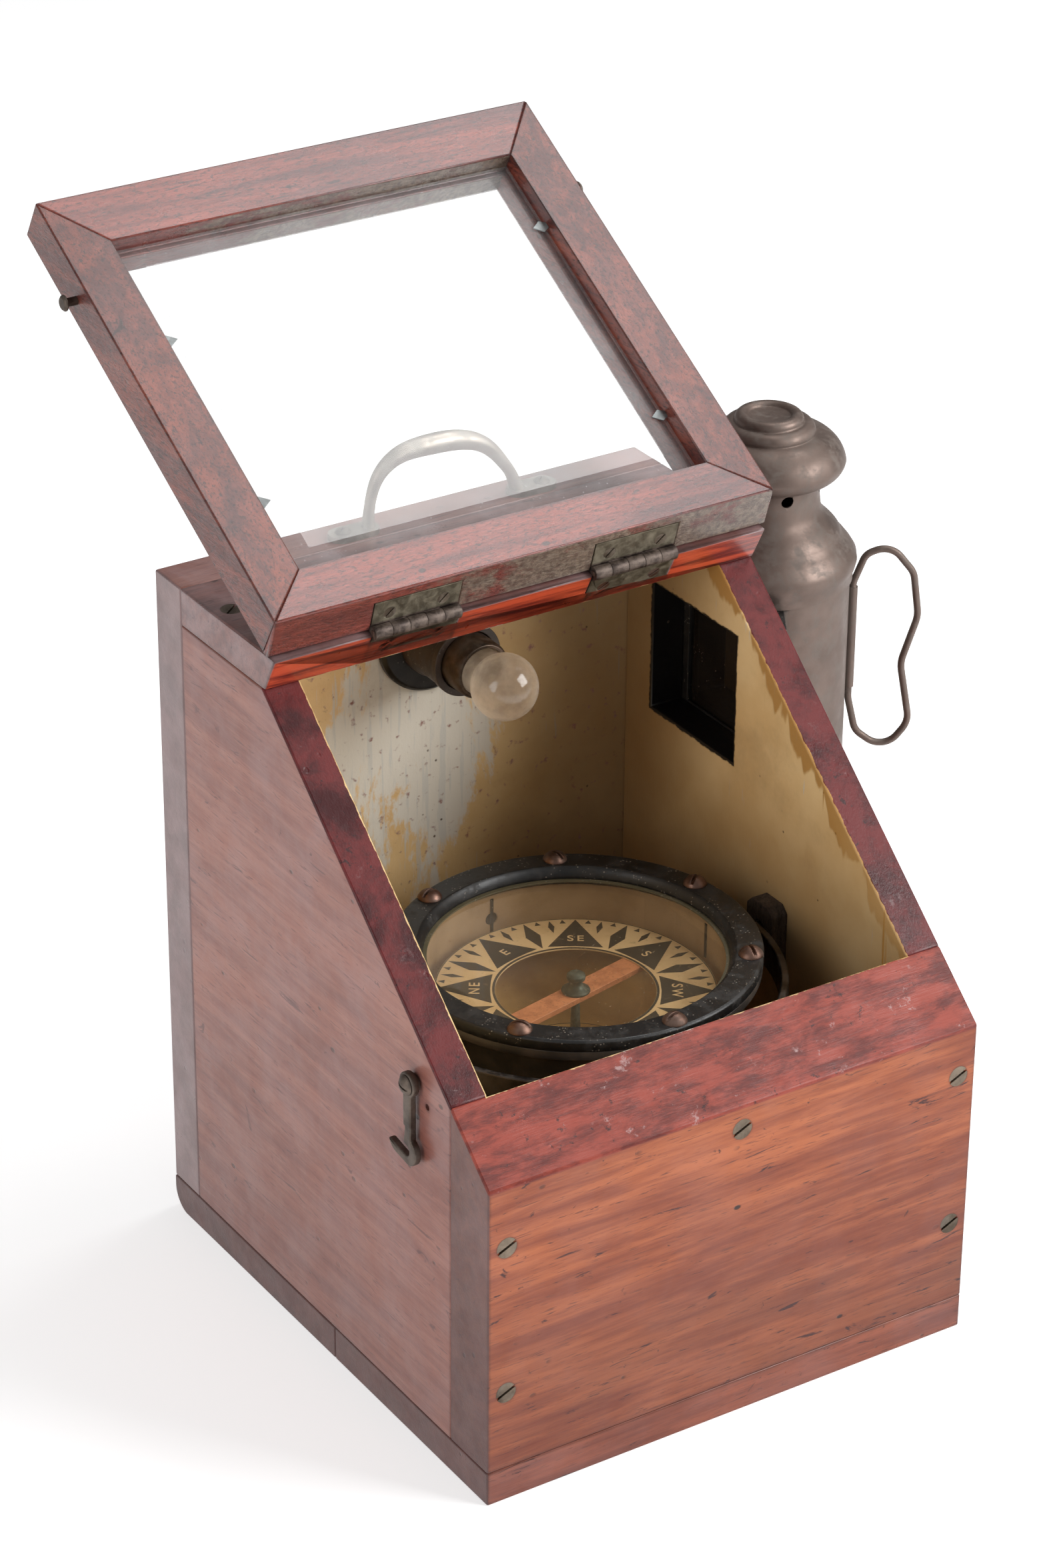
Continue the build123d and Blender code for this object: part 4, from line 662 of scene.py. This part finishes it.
softened("compass_bowl", bowl_paint(), 0.0003)


def card_point(radius, bearing):
    """A point of the card at a radius (mm) and a bearing in degrees clockwise from +Y."""
    angle = math.radians(bearing)
    return (centre.x + radius * math.sin(angle) / 1000, centre.y + radius * math.cos(angle) / 1000)


def card_paper():
    """Browned parchment with foxing and a few green stains."""
    p = Paint("card_parchment")
    colour = p.mix(p.ease(p.noise(50.0, 6.0, 0.65), 0.35, 0.7), (0.80, 0.60, 0.35), (0.62, 0.43, 0.23))
    foxing = p.ease(p.noise(210.0, 5.0, 0.7), 0.62, 0.74)
    colour = p.mix(p.times(foxing, 0.5), colour, (0.26, 0.17, 0.08))
    green = p.times(p.ease(p.noise(120.0, 4.0), 0.66, 0.72), 0.5)
    colour = p.mix(green, colour, (0.17, 0.20, 0.15))
    return p.finish(colour, 0.7, p.bump(p.noise(900.0, 3.0), 0.15, 0.0001))


def card_ink():
    """Black ink, rubbed pale in places."""
    p = Paint("card_ink")
    wear = p.ease(p.noise(420.0, 6.0, 0.75), 0.58, 0.70)
    colour = p.mix(p.times(wear, 0.45), (0.010, 0.009, 0.008), (0.24, 0.18, 0.11))
    return p.finish(colour, 0.65)


parchment = card_paper()
ink = card_ink()
softened("compass_card", parchment, 0.0)
card_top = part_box("compass_card")[1].z
INK_BASE = card_top - 0.00001
SE_BEARING = 33.0
POINTS = {"N": -135, "NE": -90, "E": -45, "SE": 0, "S": 45, "SW": 90, "W": 135, "NW": 180}
# the black shapes that repeat round the card: corners as (radius in mm, degrees from the shape's bearing),
# and the shape's bearings from each of the eight points
SHAPES = (
    (((50.0, 0.0), (31.6, 18.6), (30.9, 9.4), (30.7, 0.0), (30.9, -9.4), (31.6, -18.6)), (0.0,)),
    (((50.0, 0.0), (40.5, 4.0), (31.2, 0.0), (40.5, -4.0)), (22.5,)),
    (((49.6, 0.0), (45.4, 1.5), (40.8, 0.0), (45.4, -1.5)), (11.25, -11.25)),
    (((49.9, 0.0), (47.4, 1.4), (47.4, -1.4)), (5.6, -5.6, 16.9, -16.9)),
)
black = []
for point_turn in POINTS.values():
    for corners, turns in SHAPES:
        for turn in turns:
            bearing = SE_BEARING + point_turn + turn
            black.append([card_point(radius, bearing + lean) for radius, lean in corners])
flat_piece("card_points", black, INK_BASE, 0.00005, ink, "card")


def annulus(name, inner, outer):
    """A printed ring on the card between two radii (mm), in 2-degree pieces."""
    outlines = []
    for start in range(0, 360, 2):
        end = start + 2
        outlines.append([card_point(inner, start), card_point(outer, start),
                         card_point(outer, end), card_point(inner, end)])
    flat_piece(name, outlines, INK_BASE, 0.00004, ink, "card")


annulus("card_inner_band", 29.05, 30.0)
annulus("card_rim_line", 50.35, 50.7)

LETTER_RADIUS, LETTER_HEIGHT = 36.2, 0.0056
LETTER_SWELL, LETTER_LIFT = 0.00006, 0.00006


def letters(text, bearing):
    """Raised letters with their tops outward along a bearing."""
    curve = bpy.data.curves.new("letters_" + text, "FONT")
    curve.body = text
    curve.size = LETTER_HEIGHT
    curve.align_x = "CENTER"
    curve.align_y = "CENTER"
    curve.extrude = 0.00002
    curve.space_character = 1.35
    curve.offset = LETTER_SWELL
    scratch = bpy.data.objects.new("scratch", curve)
    bpy.context.scene.collection.objects.link(scratch)
    bpy.context.view_layer.update()
    mesh = bpy.data.meshes.new_from_object(scratch.evaluated_get(bpy.context.evaluated_depsgraph_get()))
    bpy.data.objects.remove(scratch)
    x, y = card_point(LETTER_RADIUS, bearing)
    turned = Matrix.Rotation(math.radians(-bearing), 4, "Z")
    mesh.transform(Matrix.Translation((x, y, card_top + LETTER_LIFT)) @ turned)
    link("letters_" + text, mesh, "card", parchment)


for name, turn in POINTS.items():
    letters(name, SE_BEARING + turn)

# four upright lubber lines on the bowl's wall
LUBBER_HALF, LUBBER_DEPTH = 0.0006, 0.0003
LUBBER_LOW, LUBBER_HIGH = 0.1185, 0.1325
WALL_SINK = 0.00005
BOX_FACES = ((0, 1, 2, 3), (7, 6, 5, 4), (0, 4, 5, 1), (1, 5, 6, 2), (2, 6, 7, 3), (3, 7, 4, 0))
lubber = bmesh.new()
for quarter in range(4):
    angle = math.radians(90 * quarter)
    out = Vector((math.cos(angle), math.sin(angle), 0))
    side = Vector((-out.y, out.x, 0))
    base = Vector((centre.x, centre.y, 0)) + out * (BOWL_WALL - WALL_SINK)
    corners = []
    for depth in (0.0, -LUBBER_DEPTH):
        for across, z in ((-LUBBER_HALF, LUBBER_LOW), (LUBBER_HALF, LUBBER_LOW),
                          (LUBBER_HALF, LUBBER_HIGH), (-LUBBER_HALF, LUBBER_HIGH)):
            corners.append(lubber.verts.new(base + out * depth + side * across + Vector((0, 0, z))))
    for face in BOX_FACES:
        lubber.faces.new([corners[k] for k in face])
bmesh.ops.recalc_face_normals(lubber, faces=lubber.faces)
lubber_mesh = bpy.data.meshes.new("lubber_lines")
lubber.to_mesh(lubber_mesh)
lubber.free()
link("lubber_lines", lubber_mesh, "bowl", bezel_black)

# ---- glass ----------------------------------------------------------------------------------
softened("compass_glass", compass_glaze, 0.0)
softened("lamp_window", window_glaze, 0.0)
softened("lid_glass", pane_glass, 0.0)


softened("bulb_globe", bulb_glass(), 0.0)


# ---- floor, light and camera --------------------------------------------------------------
def floor_material():
    """White studio paper that glows a little."""
    p = Paint("studio_white")
    colour = p.mix(p.ease(p.noise(3.0, 3.0), 0.3, 0.7), (0.86, 0.86, 0.865), (0.89, 0.89, 0.89))
    return p.finish(colour, 0.7, Emission_Color=(1.0, 1.0, 1.0), Emission_Strength=0.50)


bm = bmesh.new()
bmesh.ops.create_grid(bm, x_segments=2, y_segments=2, size=6.0)
floor_mesh = bpy.data.meshes.new("studio_floor")
bm.to_mesh(floor_mesh)
bm.free()
floor_mesh.materials.append(floor_material())
floor = bpy.data.objects.new("studio_floor", floor_mesh)
bpy.context.scene.collection.objects.link(floor)

world = bpy.data.worlds.new("studio")
world.use_nodes = True
bpy.context.scene.world = world
sky = world.node_tree.nodes["Background"]
sky.inputs["Color"].default_value = (1.0, 1.0, 1.0, 1.0)
sky.inputs["Strength"].default_value = 0.30


def softbox(name, toward, distance, width, height, radiance, aim=Vector((0, 0, 0.16))):
    """A rectangular light of a given radiance, standing off from aim in a direction."""
    lamp = bpy.data.lights.new(name, "AREA")
    lamp.shape = "RECTANGLE"
    lamp.size = width
    lamp.size_y = height
    lamp.energy = radiance * math.pi * width * height
    light = bpy.data.objects.new(name, lamp)
    direction = Vector(toward).normalized()
    light.location = aim + direction * distance
    light.rotation_euler = direction.to_track_quat("Z", "Y").to_euler()
    bpy.context.scene.collection.objects.link(light)


softbox("top_softbox", (0.48, 0.06, 0.88), 1.6, 0.70, 0.62, 7.5, aim=Vector((0, 0.03, 0.29)))
softbox("right_softbox", (0.66, -0.66, 0.52), 1.7, 0.9, 0.9, 10.5)
softbox("left_softbox", (-0.93, -0.20, 0.42), 1.8, 0.9, 1.1, 3.4)

camera_data = bpy.data.cameras.new("camera")
camera = bpy.data.objects.new("camera", camera_data)
bpy.context.scene.collection.objects.link(camera)
camera.matrix_world = Matrix((
    (0.84217, 0.24928, -0.47813, -0.76595),
    (-0.53916, 0.40131, -0.74044, -1.15784),
    (0.00730, 0.88137, 0.47237, 0.94613),
    (0.0, 0.0, 0.0, 1.0),
))
camera_data.sensor_fit = "VERTICAL"
camera_data.sensor_height = 36.0
camera_data.lens = 103.05
camera_data.clip_start = 0.05
bpy.context.scene.camera = camera
bpy.context.scene.view_settings.view_transform = "Standard"
